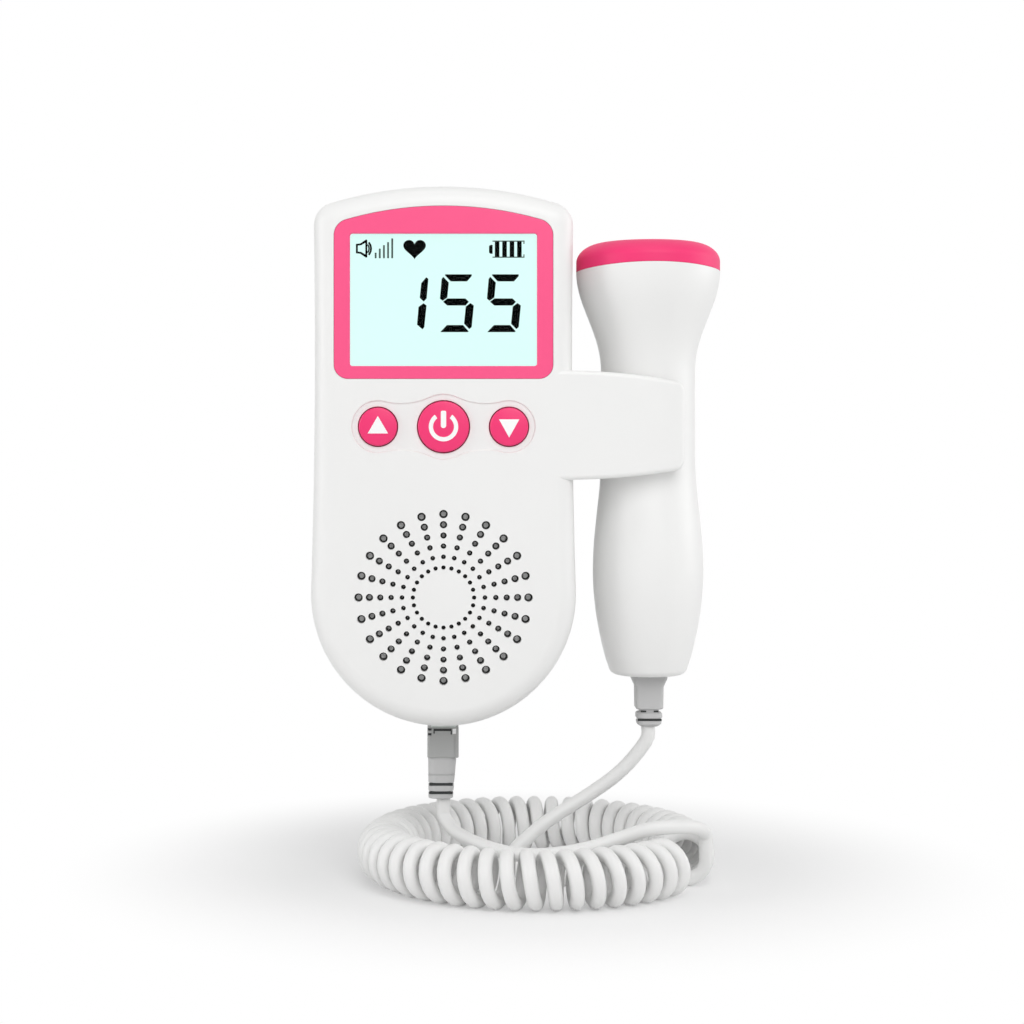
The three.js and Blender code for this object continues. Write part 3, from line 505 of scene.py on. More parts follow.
# A chain of math nodes, each fed by the one before it
def fieldMath(tree, first, *steps):
    value = first
    for operation, other in steps:
        node = addNode(tree, "ShaderNodeMath", {"operation": operation}, {0: value})
        if isinstance(other, (int, float)):
            node.inputs[1].default_value = other
        elif other is not None:
            tree.links.new(other, node.inputs[1])
        value = node.outputs[0]
    return value


# Copies of a shape at the points of a node group with named inputs, turned into a plain mesh; the rule
# gives their count, place and shape, and their turn and scale where they have one
def repeats(name, inputs, rule, materialName):
    tree = bpy.data.node_groups.new(name, "GeometryNodeTree")
    tree.interface.new_socket("Geometry", in_out="OUTPUT", socket_type="NodeSocketGeometry")
    sockets = {}
    for label, value in inputs.items():
        kind = "NodeSocketInt" if isinstance(value, int) else "NodeSocketFloat"
        sockets[label] = tree.interface.new_socket(label, in_out="INPUT", socket_type=kind).identifier
    given = addNode(tree, "NodeGroupInput").outputs
    index = addNode(tree, "GeometryNodeInputIndex").outputs[0]
    rules = rule(tree, given, index)
    place = addNode(tree, "ShaderNodeCombineXYZ", None, rules["place"])
    points = addNode(tree, "GeometryNodePoints", None, {"Count": rules["count"], "Position": place})
    copies = addNode(tree, "GeometryNodeInstanceOnPoints", rules.get("turn"),
                     {"Points": points, "Instance": rules["shape"], **rules.get("scale", {})})
    real = addNode(tree, "GeometryNodeRealizeInstances", None, {"Geometry": copies})
    painted = addNode(tree, "GeometryNodeSetMaterial", None, {"Geometry": real})
    painted.inputs["Material"].default_value = materials[materialName]
    addNode(tree, "NodeGroupOutput", None, {"Geometry": painted})
    piece = addObject(name, bpy.data.meshes.new(name))
    modifier = piece.modifiers.new(name, "NODES")
    modifier.node_group = tree
    for label, value in inputs.items():
        modifier[sockets[label]] = value
    bake(piece)
    return piece


# Grille: a cutter of spokes and rings of holes that widen outwards
grille = {"spokes": 24, "rings": 6, "inner": 7.4, "step": 2.63, "first": 0.535, "last": 1.035,
          "power": 1.4, "middle": -34.0, "depth": 8.0, "squash": 0.982, "rise": 0.3, "sides": 28}


def grilleField(tree, given, index):
    spokes = given["spokes"]
    ring = fieldMath(tree, index, ("DIVIDE", spokes), ("FLOOR", None))
    angle = fieldMath(tree, index, ("MODULO", spokes), ("DIVIDE", spokes), ("MULTIPLY", 2 * math.pi))
    radius = fieldMath(tree, ring, ("MULTIPLY", given["step"]), ("ADD", given["inner"]))
    across = fieldMath(tree, angle, ("SINE", None), ("MULTIPLY", radius))
    up = fieldMath(tree, angle, ("COSINE", None), ("MULTIPLY", radius), ("MULTIPLY", given["squash"]),
                   ("ADD", given["rise"]))
    spread = fieldMath(tree, given["last"], ("SUBTRACT", given["first"]))
    size = fieldMath(tree, ring, ("DIVIDE", fieldMath(tree, given["rings"], ("SUBTRACT", 1.0))),
                     ("POWER", given["power"]), ("MULTIPLY", spread), ("ADD", given["first"]))
    hole = addNode(tree, "GeometryNodeMeshCylinder", {"Radius": 1.0},
                   {"Vertices": given["sides"], "Depth": given["depth"]})
    scale = addNode(tree, "ShaderNodeCombineXYZ", {"Z": 1.0}, {"X": size, "Y": size})
    return {"count": fieldMath(tree, spokes, ("MULTIPLY", given["rings"])), "shape": hole,
            "place": {"X": across, "Y": given["middle"], "Z": up},
            "turn": {"Rotation": (math.pi / 2, 0, 0)}, "scale": {"Scale": scale}}


# Shallow pan round the three buttons, outlined by arcs that run into one another; its slope is given
# by pairs of inset and depth, and the holes in it by pairs of the gap round a button's cap and depth
pan = {"lobe": 6.45, "middle": 8.0, "pitch": 15.84, "neck": 16.38, "waist": 5.75, "z": 41.6,
       "steps": (24, 16, 12), "slope": [(-0.6, -0.6), (0, 0), (0.3, 0.45)],
       "hole": [(0.5, -0.1), (0.3, 0.45), (0.22, 0.6), (0.22, 3)]}


def panOutline(inset):
    p = pan
    lobeSteps, neckSteps, middleSteps = p["steps"]
    neckX = math.sqrt((p["middle"] + p["neck"]) ** 2 - (p["waist"] + p["neck"]) ** 2)
    neckZ = p["waist"] + p["neck"]
    toLobe = math.atan2(neckZ, p["pitch"] - neckX)
    toMiddle = math.atan2(neckZ, neckX)
    upper = arc(p["pitch"], 0, p["lobe"] - inset, 0, math.pi - toLobe, lobeSteps) \
        + arc(neckX, neckZ, p["neck"] + inset, -toLobe, toMiddle - math.pi, neckSteps)[1:] \
        + arc(0, 0, p["middle"] - inset, toMiddle, math.pi / 2, middleSteps)[1:]
    right = [(x, -z) for x, z in reversed(upper)][:-1] + upper
    return [(x, p["z"] + z) for x, z in right + mirrored(right)[1:-1]]


controls = {
    "up": {"x": -pan["pitch"], "radius": 4.63},
    "power": {"x": 0, "radius": 6.18},
    "down": {"x": pan["pitch"], "radius": 4.63},
}

# Places of the casing screws, and what holds them: a post in the front shell, a sunk boss in the rear
screwRows = {"count": 4, "lowX": 23.5, "narrowing": -3.5, "lowZ": 24.0, "rise": 68.8}
screwPlaces = [(side * (screwRows["lowX"] + screwRows["narrowing"] * row),
                screwRows["lowZ"] + screwRows["rise"] * row) for row in (1, 0) for side in (-1, 1)]
screwHold = {"post": 2.4, "boss": 3.6, "bossEnd": -1.2, "bore": 1.4, "frontBore": (-20.6, -17),
             "rearBore": (-20, -9.5), "sink": [(2.6, -11.4), (2.6, -0.25), (2.85, 0), (3.3, 0.5)]}

# Room round the casing for cutting it in halves, passage of the line plug, seats of frame and window
halving = {"x": 70, "front": -40, "rear": 5, "low": -40, "high": 110}
passage = {"half": 3.4, "base": -33, "top": -27.3}
seats = {"frameGap": 0.06, "frameDepth": 1.4, "lensHalf": 23.6, "lensDepth": 3, "lensZ": (55.3, 89.3)}


# A hollow casing half with its holder arm
def halfShell(name, near, far, side):
    h = halving
    shell = combine(bodyBlock(name, 0), "UNION", holderArm("arm", side))
    combine(shell, "INTERSECT", block("half", -h["x"], h["x"], near, far, h["low"], h["high"]))
    return combine(shell, "DIFFERENCE", bodyBlock("room", wall))


def plugPassage():
    half = passage["half"]
    return block("passage", -half, half, middleY - half, middleY + half, passage["base"], passage["top"])


def frontShell():
    s, far = seats, middleY - fit / 2
    shell = halfShell("frontShell", halving["front"], far, -1)
    post, bore = screwHold["post"], screwHold["bore"]
    for x, z in screwPlaces:
        combine(shell, "UNION", turned("post", [(post, front + over), (post, far)], (x, 0, z), "Y", 32))
        combine(shell, "DIFFERENCE",
                turned("bore", [(bore, y) for y in screwHold["frontBore"]], (x, 0, z), "Y", 24))
    combine(shell, "DIFFERENCE",
            plate("bezelSeat", lambda inset: bezelOutline(inset - s["frameGap"]), front - over,
                  front + s["frameDepth"]),
            block("lensSeat", -s["lensHalf"], s["lensHalf"], front - over, front + s["lensDepth"],
                  *s["lensZ"]),
            loft("pan", [[(x, front + depth, z) for x, z in panOutline(inset)]
                         for inset, depth in pan["slope"]]),
            plugPassage())
    for c in controls.values():
        combine(shell, "DIFFERENCE", turned(
            "hole", [(c["radius"] + gap, front + depth) for gap, depth in pan["hole"]],
            (c["x"], 0, pan["z"]), "Y", 96))
    combine(shell, "DIFFERENCE", repeats("grilleCutter", grille, grilleField, "absShell"))
    return dress(shell, "absShell", "unit", ["front_shell"])


# Black plate with a smaller hole behind each hole of the shell, bonded to the dust cloth: painted shade
# that darkens the rim of every hole, and the small inner holes almost wholly
soundPlate = {"radius": 23, "near": -32.65, "far": -32.45,
              "holes": {"first": 0.06, "last": 0.6, "power": 1.0}}


def makeHoleShadePlate():
    p = soundPlate
    piece = turned("soundPlate", [(p["radius"], p["near"]), (p["radius"], p["far"])], (0, 0, 0), "Y", 96)
    # The plate's black is painted shade in and round the grille's holes
    combine(piece, "DIFFERENCE",
            repeats("plateCutter", {**grille, **p["holes"]}, grilleField, "blackNylon"))
    return dress(piece, "blackNylon", "unit")


frontShell()
makeHoleShadePlate()
print("front shell ready")

# Rear shell with the battery bay under its door
bay = {"half": 15.05, "base": 31.2, "top": 88.5, "front": -16.8, "end": -1.1, "wall": 2.5, "floor": 1.2}
door = {"half": 16.65, "base": 29.6, "top": 90.1, "corner": 2, "thick": 1.4, "round": 0.3, "gap": 0.15,
        "tongueX": 8.325, "tongueHalf": 3, "tongueY": (-3.2, -2), "tongueTop": 91.9, "root": -0.7,
        "roomY": (-3.8, -1.7), "roomZ": (87.5, 92.5)}


def doorOutline(inset):
    d = door
    return rectangle(d["half"] - inset, d["base"] + inset, d["top"] - inset, d["corner"] - inset)


def rearShell():
    b, d, s, near = bay, door, screwHold, middleY + fit / 2
    shell = halfShell("rearShell", near, halving["rear"], 1)
    for x, z in screwPlaces:
        combine(shell, "UNION",
                turned("boss", [(s["boss"], near), (s["boss"], s["bossEnd"])], (x, 0, z), "Y", 40))
    combine(shell, "UNION", block("bayBox", -b["half"] - b["wall"], b["half"] + b["wall"],
                                  b["front"] - b["floor"], b["end"], b["base"] - b["wall"],
                                  b["top"] + b["wall"]))
    combine(shell, "DIFFERENCE",
            block("bayRoom", -b["half"], b["half"], b["front"], over, b["base"], b["top"]),
            plate("doorSeat", lambda inset: doorOutline(-d["gap"]), -d["thick"] - fit, over),
            plugPassage())
    room = d["tongueHalf"] + fit
    for x in (-d["tongueX"], d["tongueX"]):
        combine(shell, "DIFFERENCE", block("tongueRoom", x - room, x + room, *d["roomY"], *d["roomZ"]))
    for x, z in screwPlaces:
        combine(shell, "DIFFERENCE", turned("sink", s["sink"], (x, 0, z), "Y", 48),
                turned("bore", [(s["bore"], y) for y in s["rearBore"]], (x, 0, z), "Y", 24))
    return dress(shell, "absShell", "unit", ["rear_shell"])


rearShell()
print("rear shell ready")

# Display frame, flush with the casing; its opening flares by pairs of growth and depth
displayFrame = {"thick": 1.1, "round": 0.2, "half": 22.6, "base": 56.3, "top": 88.3, "corner": 0.6,
                "flare": [(0, 1.6), (0, 0.3), (0.08, 0.1), (0.8, -0.5)]}


def displayBezel():
    d = displayFrame
    piece = plate("displayBezel", bezelOutline, front, front + d["thick"], d["round"])
    combine(piece, "DIFFERENCE", loft("opening", [
        [(x, front + depth, z) for x, z in rectangle(d["half"] + grow, d["base"] - grow, d["top"] + grow,
                                                     d["corner"] + grow)]
        for grow, depth in d["flare"]]))
    return dress(piece, "absBezel", "unit", ["display_bezel"])


displayBezel()

# Signs of the display, drawn on a grid of 0.03 mm steps from the window's top left corner: the lit
# parts of a 5 and how far it shifts for each such digit, those of a 1, and the small signs above
signGrid = {"step": 0.03004, "x": -23.19, "z": 89.39, "near": -32.5, "far": -32.43}
digitParts = [
    [(785, 358), (1000, 358), (1000, 372), (962, 415), (830, 415), (784, 366)],
    [(770, 378), (815, 425), (803, 545), (765, 572), (743, 555), (757, 396)],
    [(768, 580), (803, 553), (950, 553), (977, 580), (950, 610), (803, 610)],
    [(990, 590), (1017, 610), (1000, 785), (980, 800), (938, 757), (952, 618)],
    [(748, 822), (800, 768), (930, 768), (975, 818), (970, 825), (752, 825)],
]
digitShifts = (0, 380)
oneParts = [
    [(650, 395), (636, 553), (612, 578), (580, 548), (592, 430), (632, 382)],
    [(610, 592), (635, 610), (617, 785), (603, 803), (558, 765), (570, 622)],
]
batterySign = {
    "cells": (1187, 1247, 1307, 1367), "cellWidth": 37, "cellZ": (92, 217),
    "pole": [(1140, 130), (1152, 120), (1169, 120), (1169, 192), (1152, 192), (1140, 182)],
    "case": [(1168, 1427, 85, 94), (1168, 1427, 215, 224), (1418, 1427, 94, 112), (1418, 1427, 197, 215)],
}
heartSign = {"x": 538, "z": 146, "wide": 5.7, "high": 5.5, "points": 48}
barSign = {"x": 216, "pitch": 33.5, "width": 15, "tops": (183, 150, 122, 98, 68), "foot": 228}
speakerSign = {
    "cone": [(64, 112), (100, 108), (146, 76), (156, 80), (156, 220), (146, 224), (100, 192), (64, 188)],
    "hollow": [(80, 126), (106, 123), (139, 104), (140, 106), (140, 195), (139, 196), (106, 177),
               (80, 174)],
    "waves": [(110, 84, 16), (120, 56, 12)], "waveZ": 150, "waveHalf": 0.72, "waveSteps": 10,
}


# The well-known heart curve of sines and cosines
def heartPart():
    h = heartSign
    part = []
    for i in range(h["points"]):
        t = 2 * math.pi * i / h["points"]
        x = 16 * math.sin(t) ** 3
        z = 13 * math.cos(t) - 5 * math.cos(2 * t) - 2 * math.cos(3 * t) - math.cos(4 * t)
        part.append((h["x"] + h["wide"] * x, h["z"] - h["high"] * z))
    return part


def speakerParts():
    s = speakerSign
    cone, hollow, half, steps = s["cone"], s["hollow"], s["waveHalf"], s["waveSteps"]
    parts = []
    for i in range(len(cone)):
        j = (i + 1) % len(cone)
        parts.append([cone[i], cone[j], hollow[j], hollow[i]])
    for centre, radius, width in s["waves"]:
        parts.append(arc(centre, s["waveZ"], radius, -half, half, steps)
                     + arc(centre, s["waveZ"], radius - width, half, -half, steps))
    return parts


# The signs' parts as thin prisms of one mesh
def signPlate(name, parts, look):
    g = signGrid
    points, faces = [], []
    for part in parts:
        n, at = len(part), len(points)
        points += [(g["x"] + g["step"] * x, y, g["z"] - g["step"] * z)
                   for y in (g["near"], g["far"]) for x, z in part]
        faces += [tuple(range(at, at + n)), tuple(range(at + n, at + 2 * n))]
        faces += [(at + k, at + (k + 1) % n, at + n + (k + 1) % n, at + n + k) for k in range(n)]
    return dress(solid(name, points, faces), look, "unit")


def displaySigns():
    b, s = batterySign, barSign
    digits = oneParts + [[(x + shift, z) for x, z in part] for shift in digitShifts for part in digitParts]
    cells = [corners(x, x + b["cellWidth"], *b["cellZ"]) for x in b["cells"]]
    signPlate("displaySigns", digits + cells + [b["pole"], heartPart()] + speakerParts(), "lcdInk")
    starts = [(s["x"] + s["pitch"] * k, top) for k, top in enumerate(s["tops"])]
    bars = [corners(x, x + s["width"], top, s["foot"]) for x, top in starts]
    signPlate("displayBars", bars + [corners(*place) for place in b["case"]], "lcdGrey")


displaySigns()
print("display ready")

# Buttons with printed signs that follow the cap's gentle dome
cap = {"proud": 0.8, "crown": 0.3, "round": 0.45, "flange": 1.1, "flangeY": (3.5, 2.5), "ink": 0.03,
       "inkRoot": 0.15, "domeShares": (0.85, 0.7, 0.5, 0.3, 0.1)}


def domeAt(radius, distance):
    flat = radius - cap["round"]
    return front - cap["proud"] + cap["crown"] * min(distance / flat, 1) ** 2


def buttonSign(name, x, radius, shapes):
    work = bmesh.new()
    for shape in shapes:
        ring = [work.verts.new((x + dx, 0, pan["z"] + dz)) for dx, dz in shape]
        work.faces.new(ring)
    bmesh.ops.triangulate(work, faces=work.faces)
    bmesh.ops.subdivide_edges(work, edges=work.edges, cuts=3, use_grid_fill=True)
    bmesh.ops.triangulate(work, faces=work.faces)
    raised = bmesh.ops.extrude_face_region(work, geom=list(work.faces))
    upper = [v for v in raised["geom"] if isinstance(v, bmesh.types.BMVert)]
    for v in work.verts:
        v.co.y = domeAt(radius, math.hypot(v.co.x - x, v.co.z - pan["z"])) + cap["inkRoot"]
    for v in upper:
        v.co.y -= cap["inkRoot"] + cap["ink"]
    bmesh.ops.recalc_face_normals(work, faces=work.faces)
    mesh = bpy.data.meshes.new(name)
    work.to_mesh(mesh)
    work.free()
    return addObject(name, mesh)


# Open ring and bar of the power sign; the bar's foot is round
powerMark = {"gap": 36, "outer": 3.55, "inner": 2.52, "steps": 44, "barX": 0.3, "barTop": 3.5,
             "barCorner": 0.35, "barFoot": 0.3, "barRound": 0.65}


def powerSign():
    p = powerMark
    gap, x, corner = math.radians(p["gap"]), p["barX"], p["barCorner"]
    start, end = math.pi / 2 + gap, math.pi / 2 + 2 * math.pi - gap
    outer, inner = [arc(0, 0, p[edge], start, end, p["steps"]) for edge in ("outer", "inner")]
    ring = [[outer[i], outer[i + 1], inner[i + 1], inner[i]] for i in range(p["steps"])]
    bar = arc(0, p["barFoot"], p["barRound"], math.pi, 2 * math.pi, 10) \
        + arc(x, p["barTop"], corner, 0, math.pi / 2, 4) \
        + arc(-x, p["barTop"], corner, math.pi / 2, math.pi, 4)
    return ring + [bar]


signs = {
    "up": [[(-2.46, -1.64), (2.46, -1.64), (0, 2.6)]],
    "power": powerSign(),
    "down": [[(-2.46, 1.78), (0, -2.62), (2.46, 1.78)]],
}


def button(key, x, radius):
    c, name = cap, f"button_{key}"
    flat, rim, wide = radius - c["round"], front - c["proud"] + c["crown"], radius + c["flange"]
    start, end = [front + depth for depth in c["flangeY"]]
    profile = [(wide, start), (wide, end), (radius, end)]
    profile += [(flat + c["round"] * math.cos(a), rim + c["round"] * (1 - math.sin(a)))
                for a in quarter(6)]
    profile += [(flat * share, domeAt(radius, flat * share)) for share in c["domeShares"]]
    dress(turned(f"{name}_cap", profile, (x, 0, pan["z"]), "Y", 96), "absButton", name, [name])
    dress(buttonSign(f"{name}_sign", x, radius, signs[key]), "whiteInk", name)


for key, c in controls.items():
    button(key, c["x"], c["radius"])
print("buttons ready")

# Probe: turned shells split at the middle, cap over their top; heights run from the grip's foot
probe = {
    "centre": (51.1, middleY, -20.5), "foot": 9.6, "footRound": 2.2, "footLift": 0.5, "footInset": 2.9,
    "swellFrom": 1.6, "swell": 0.85, "grip": 13.75, "gripHeight": 26.5,
    "waist": 11.7, "waistLow": 55.5, "waistHigh": 75.5, "flare": 1.1, "head": 17.9, "seam": 100.9,
    "length": 108.45, "wall": 2, "floorRise": 0.1, "steps": (24, 24, 4, 28),
    "bow": 1.2, "bowReach": 6, "split": 0.04, "plugRoom": 3.1, "plugTop": -16,
    "boxX": 20, "boxY": (-40, 5), "boxZ": (-25, 90),
}
# Cap of the probe: its edge is an elliptic round, its middle a shallow dome with rings of these radii
probeLid = {"round": (7, 4.8), "dome": 0.35, "rings": (8.5, 6, 3.5, 1, 0.02), "gap": 0.05,
            "chamfer": (0.1, 0.2), "thick": 2, "under": 1.6, "lip": 1}


def ease(start, end, share):
    return start + (end - start) * (1 - math.cos(math.pi * share)) / 2


def gripRadius(height):
    p = probe
    if height <= p["gripHeight"]:
        share = max(height - p["swellFrom"], 0) / (p["gripHeight"] - p["swellFrom"])
        return p["foot"] + (p["grip"] - p["foot"]) * math.sin(math.pi / 2 * share) ** p["swell"]
    if height <= p["waistLow"]:
        return ease(p["grip"], p["waist"], (height - p["gripHeight"]) / (p["waistLow"] - p["gripHeight"]))
    if height <= p["waistHigh"]:
        return p["waist"]
    share = (height - p["waistHigh"]) / (p["seam"] - p["waistHigh"])
    return ease(p["waist"], p["head"], share ** p["flare"])


# Outline of the hollow shell, up its outer side and down its inner one
def shellProfile():
    p = probe
    start, foot = p["footRound"] * 2, p["footRound"] + p["footLift"]
    outer = arc(gripRadius(start) - p["footInset"], foot, p["footRound"], -math.pi / 2, 0, 8)
    outer = [(r, h) for r, h in outer if h < foot] + [(gripRadius(start), start)]
    levels = [start, p["gripHeight"], p["waistLow"], p["waistHigh"], p["seam"]]
    for low, high, steps in zip(levels, levels[1:], p["steps"]):
        heights = [low + (high - low) * i / steps for i in range(1, steps + 1)]
        outer += [(gripRadius(height), height) for height in heights]
    inner = [(r - p["wall"], max(h, p["wall"] + p["footLift"] + p["floorRise"] * i))
             for i, (r, h) in enumerate(outer)]
    return outer + [(p["head"] - p["wall"], p["seam"])] + inner[::-1][1:]


# The seam under the cap bows up at the probe's front and back
def bowSeam(piece):
    x, y, z = probe["centre"]
    for vertex in piece.data.vertices:
        dx, dy = vertex.co.x - x, vertex.co.y - y
        near = max(1 - abs(vertex.co.z - z - probe["seam"]) / probe["bowReach"], 0)
        vertex.co.z += probe["bow"] * near * near * (3 - 2 * near) * dy * dy / max(dx * dx + dy * dy, 1)
    return piece


def probeShells():
    p = probe
    x = p["centre"][0]
    frontY, rearY = p["boxY"]
    low, high = p["boxZ"]
    room = p["plugRoom"]
    for side, near, far in (("Front", frontY, middleY - p["split"]), ("Rear", middleY + p["split"], rearY)):
        shell = bowSeam(turned(f"probeShell{side}", shellProfile(), p["centre"], "Z", 120, closed=True))
        combine(shell, "INTERSECT", block("half", x - p["boxX"], x + p["boxX"], near, far, low, high))
        combine(shell, "DIFFERENCE", block("plugRoom", x - room, x + room, middleY - room, middleY + room,
                                           low, p["plugTop"]))
        dress(shell, "absShell", "probe", [f"probe_shell_{side.lower()}"])


def probeCap():
    p, c = probe, probeLid
    across, down = c["round"]
    bevel, rise = c["chamfer"]
    top, flat, inner = p["length"] - c["dome"], p["head"] - across, p["head"] - p["wall"]
    profile = [(inner, p["seam"] + c["gap"]), (p["head"] - bevel, p["seam"] + c["gap"]),
               (p["head"], p["seam"] + rise)]
    profile += [(p["head"] - across * (1 - math.cos(a)), top - down * (1 - math.sin(a)))
                for a in quarter(16)]
    profile += [(r, p["length"] - c["dome"] * (r / flat) ** 2) for r in c["rings"]]
    profile += [(c["rings"][-1], p["length"] - c["thick"]), (flat, top - c["under"]),
                (inner - c["lip"], top - down)]
    lid = bowSeam(turned("probeCap", profile, p["centre"], "Z", 120, closed=True))
    dress(lid, "absCap", "probe", ["probe_cap"])


probeShells()
probeCap()
print("probe ready")


# Sections of the plugs and boots: rounded squares stacked along Z
def roundedSquare(x, y, halfX, halfY, corner, z):
    turns = [(halfX, -halfY, -1), (halfX, halfY, 0), (-halfX, halfY, 1), (-halfX, -halfY, 2)]
    ring = []
    for cornerX, cornerY, turn in turns:
        centreX = x + math.copysign(halfX - corner, cornerX)
        centreY = y + math.copysign(halfY - corner, cornerY)
        ring += [(px, py, z) for px, py in
                 arc(centreX, centreY, corner, turn * math.pi / 2, (turn + 1) * math.pi / 2, 6)]
    return ring


def stack(name, x, y, sections):
    return loft(name, [roundedSquare(x + shift, y, halfX, halfY, corner, z)
                       for z, halfX, halfY, corner, shift in sections])


def roundedEnds(z0, z1, half, corner, edge):
    low = [(z0 + edge * (1 - math.cos(a)), half - edge * (1 - math.sin(a))) for a in quarter(4)]
    rings = low + [(z0 + z1 - z, h) for z, h in reversed(low)]
    return [(z, h, h, corner, 0) for z, h in rings]


# Line plug: pale nose in the socket, block with pits whose dark insets are painted shade, and a pale latch
# tab in its front
linePlug = {
    "x": -0.12, "block": (-40.45, -32.95), "half": 3.9, "corner": 0.8, "edge": 0.25,
    "nose": (-33.3, -21.3), "noseHalf": 3.1, "noseCorner": 0.4, "pitDepth": 0.3,
    "pits": {"latch": (-2.5, 2.05, -33.75, -33.15), "latchLeft": (-2.5, -2.15, -34.4, -33.75),
             "latchRight": (1.75, 2.1, -34.65, -33.75), "high": (-3.85, -2.95, -33.65, -33.1),
             "low": (-3.85, -2.95, -34.85, -34.25)},
    "tab": (2.27, 3.1, -34.4, -33.15), "tabProud": 0.06, "seam": (2.7, 2.85, -40, -35), "seamDepth": 0.2,
}
# A pit's cut runs out past the face and a little deeper than asked; its inset has this much air round it
pit = {"over": 2, "extra": 0.1, "air": 0.03, "near": -0.1, "far": 0.05}


# A pit cut into a piece's front face, with a dark inset of painted shade at its bottom
def pitWithPaintedShade(piece, name, body, face, x0, x1, z0, z1, depth):
    air, floor = pit["air"], face + depth
    combine(piece, "DIFFERENCE", block("pit", x0, x1, face - pit["over"], floor + pit["extra"], z0, z1))
    inset = block(name, x0 + air, x1 - air, floor + pit["near"], floor + pit["far"], z0 + air, z1 - air)
    return dress(inset, "paintedPitShade", body)


def makeLinePlug():
    p = linePlug
    face = middleY - p["half"]
    plug = stack("linePlugBlock", p["x"], middleY,
                 roundedEnds(*p["block"], p["half"], p["corner"], p["edge"]))
    x0, x1, z0, z1 = p["seam"]
    combine(plug, "DIFFERENCE", block("seam", x0, x1, face - over, face + p["seamDepth"], z0, z1))
    pieces = [pitWithPaintedShade(plug, f"linePlug_{name}", "unit", face, *place, p["pitDepth"])
              for name, place in p["pits"].items()]
    x0, x1, z0, z1 = p["tab"]
    tab = block("linePlug_tab", x0, x1, face - p["tabProud"], face + p["pitDepth"], z0, z1)
    nose = stack("linePlug_nose", 0, middleY,
                 [(z, p["noseHalf"], p["noseHalf"], p["noseCorner"], 0) for z in p["nose"]])
    return pieces + [dress(tab, "whiteInk", "unit"), dress(nose, "plugNose", "unit"),
                     dress(plug, "plugBody", "unit", ["line_plug"])]


# Boot of the line plug, by height: each groove is a short run with a smaller half width, given by its
# place, height and depth; the two lower ones hold slots, given by their ends and depth, each with painted
# shade at its bottom
lineBoot = {"top": -40.2, "end": -50.7, "wide": 3.54, "narrow": 3.05, "shift": (-0.3, -0.7), "edge": 0.15,
            "cornerShare": 0.62, "grooves": [(-44.75, 0.4, 0.25), (-47.1, 0.7, 0.15), (-49.2, 0.7, 0.15)],
            "slope": 0.05, "reach": 3.1, "slots": [(-3.6, 2.35, 0.2), (-3.3, -2.1, 0.7), (0.5, 1.8, 0.7)]}


def groovedSections(b):
    edge, slope = b["edge"], b["slope"]
    span = b["top"] - b["end"]
    start, end = b["shift"]

    def at(z, cut=0):
        share = (b["top"] - z) / span
        half = b["wide"] + (b["narrow"] - b["wide"]) * share - cut
        return (z, half, half, half * b["cornerShare"], start + (end - start) * share)

    sections = [at(b["top"], edge), at(b["top"] - edge)]
    for z, width, cut in b["grooves"]:
        high, low = z + width / 2, z - width / 2
        sections += [at(high + slope), at(high, cut), at(low, cut), at(low - slope)]
    return sections + [at(b["end"] + edge), at(b["end"], edge)]


def makeLineBoot():
    b = lineBoot
    boot = stack("lineBoot", 0, middleY, groovedSections(b))
    pieces = []
    for z, width, _ in b["grooves"][1:]:
        for x0, x1, depth in b["slots"]:
            pieces.append(pitWithPaintedShade(boot, f"lineBoot_slot{len(pieces) + 1}", "unit", middleY - b["reach"],
                                  x0, x1, z - width / 2, z + width / 2, depth))
    return pieces + [dress(boot, "plugBoot", "unit", ["line_boot"])]


linePieces = makeLinePlug() + makeLineBoot()

# Probe plug and its boot by height, with half widths and corners; the last number of a slot is how far its
# face stands in front of the middle. Each slot has painted shade at its bottom.
probePlug = {
    "shift": 0.2, "noseHalf": 2.8, "nose": (-21.5, -11.5), "cornerShare": 0.6, "pitDepth": 0.3,
    "block": [(-19.9, 4.45, 3.3, 0.8), (-20.9, 4.4, 3.3, 0.8), (-21.9, 3.95, 3.3, 0.8),
              (-22.9, 3.5, 3.2, 0.8), (-28.1, 3.42, 3.2, 0.9), (-28.45, 3.25, 3.0, 1.0),
              (-28.6, 2.95, 2.7, 1.1)],
    "boot": [(-28.55, 2.4), (-29.25, 2.4), (-29.4, 2.95), (-29.7, 3.24), (-30.55, 3.27), (-30.75, 3.15),
             (-30.8, 2.95), (-31.4, 2.9), (-31.45, 3.1), (-31.7, 3.12), (-32.25, 3.0), (-32.6, 2.6),
             (-32.9, 2.1)],
    "slots": [(-2.2, -0.8, -29.3, -28.85, 2.4), (1.0, 2.25, -29.3, -28.85, 2.4),
              (-3.0, 3.0, -31.4, -30.8, 3.0)],
}


def makeProbePlug():
    p = probePlug
    x, half = probe["centre"][0] + p["shift"], p["noseHalf"]
    plug = stack("probePlugBlock", x, middleY, [(*section, 0) for section in p["block"]])
    combine(plug, "UNION", block("nose", x - half, x + half, middleY - half, middleY + half, *p["nose"]))
    boot = stack("probeBoot", x, middleY, [(z, h, h, h * p["cornerShare"], 0) for z, h in p["boot"]])
    pieces = [pitWithPaintedShade(boot, f"probeBoot_slot{i + 1}", "probe", middleY - reach, x + x0, x + x1, z0, z1,
                      p["pitDepth"]) for i, (x0, x1, z0, z1, reach) in enumerate(p["slots"])]
    return pieces + [dress(plug, "plugBoot", "probe", ["probe_plug"]),
                     dress(boot, "plugBoot", "probe", ["probe_boot"])]


probePieces = makeProbePlug()
print("plugs ready")
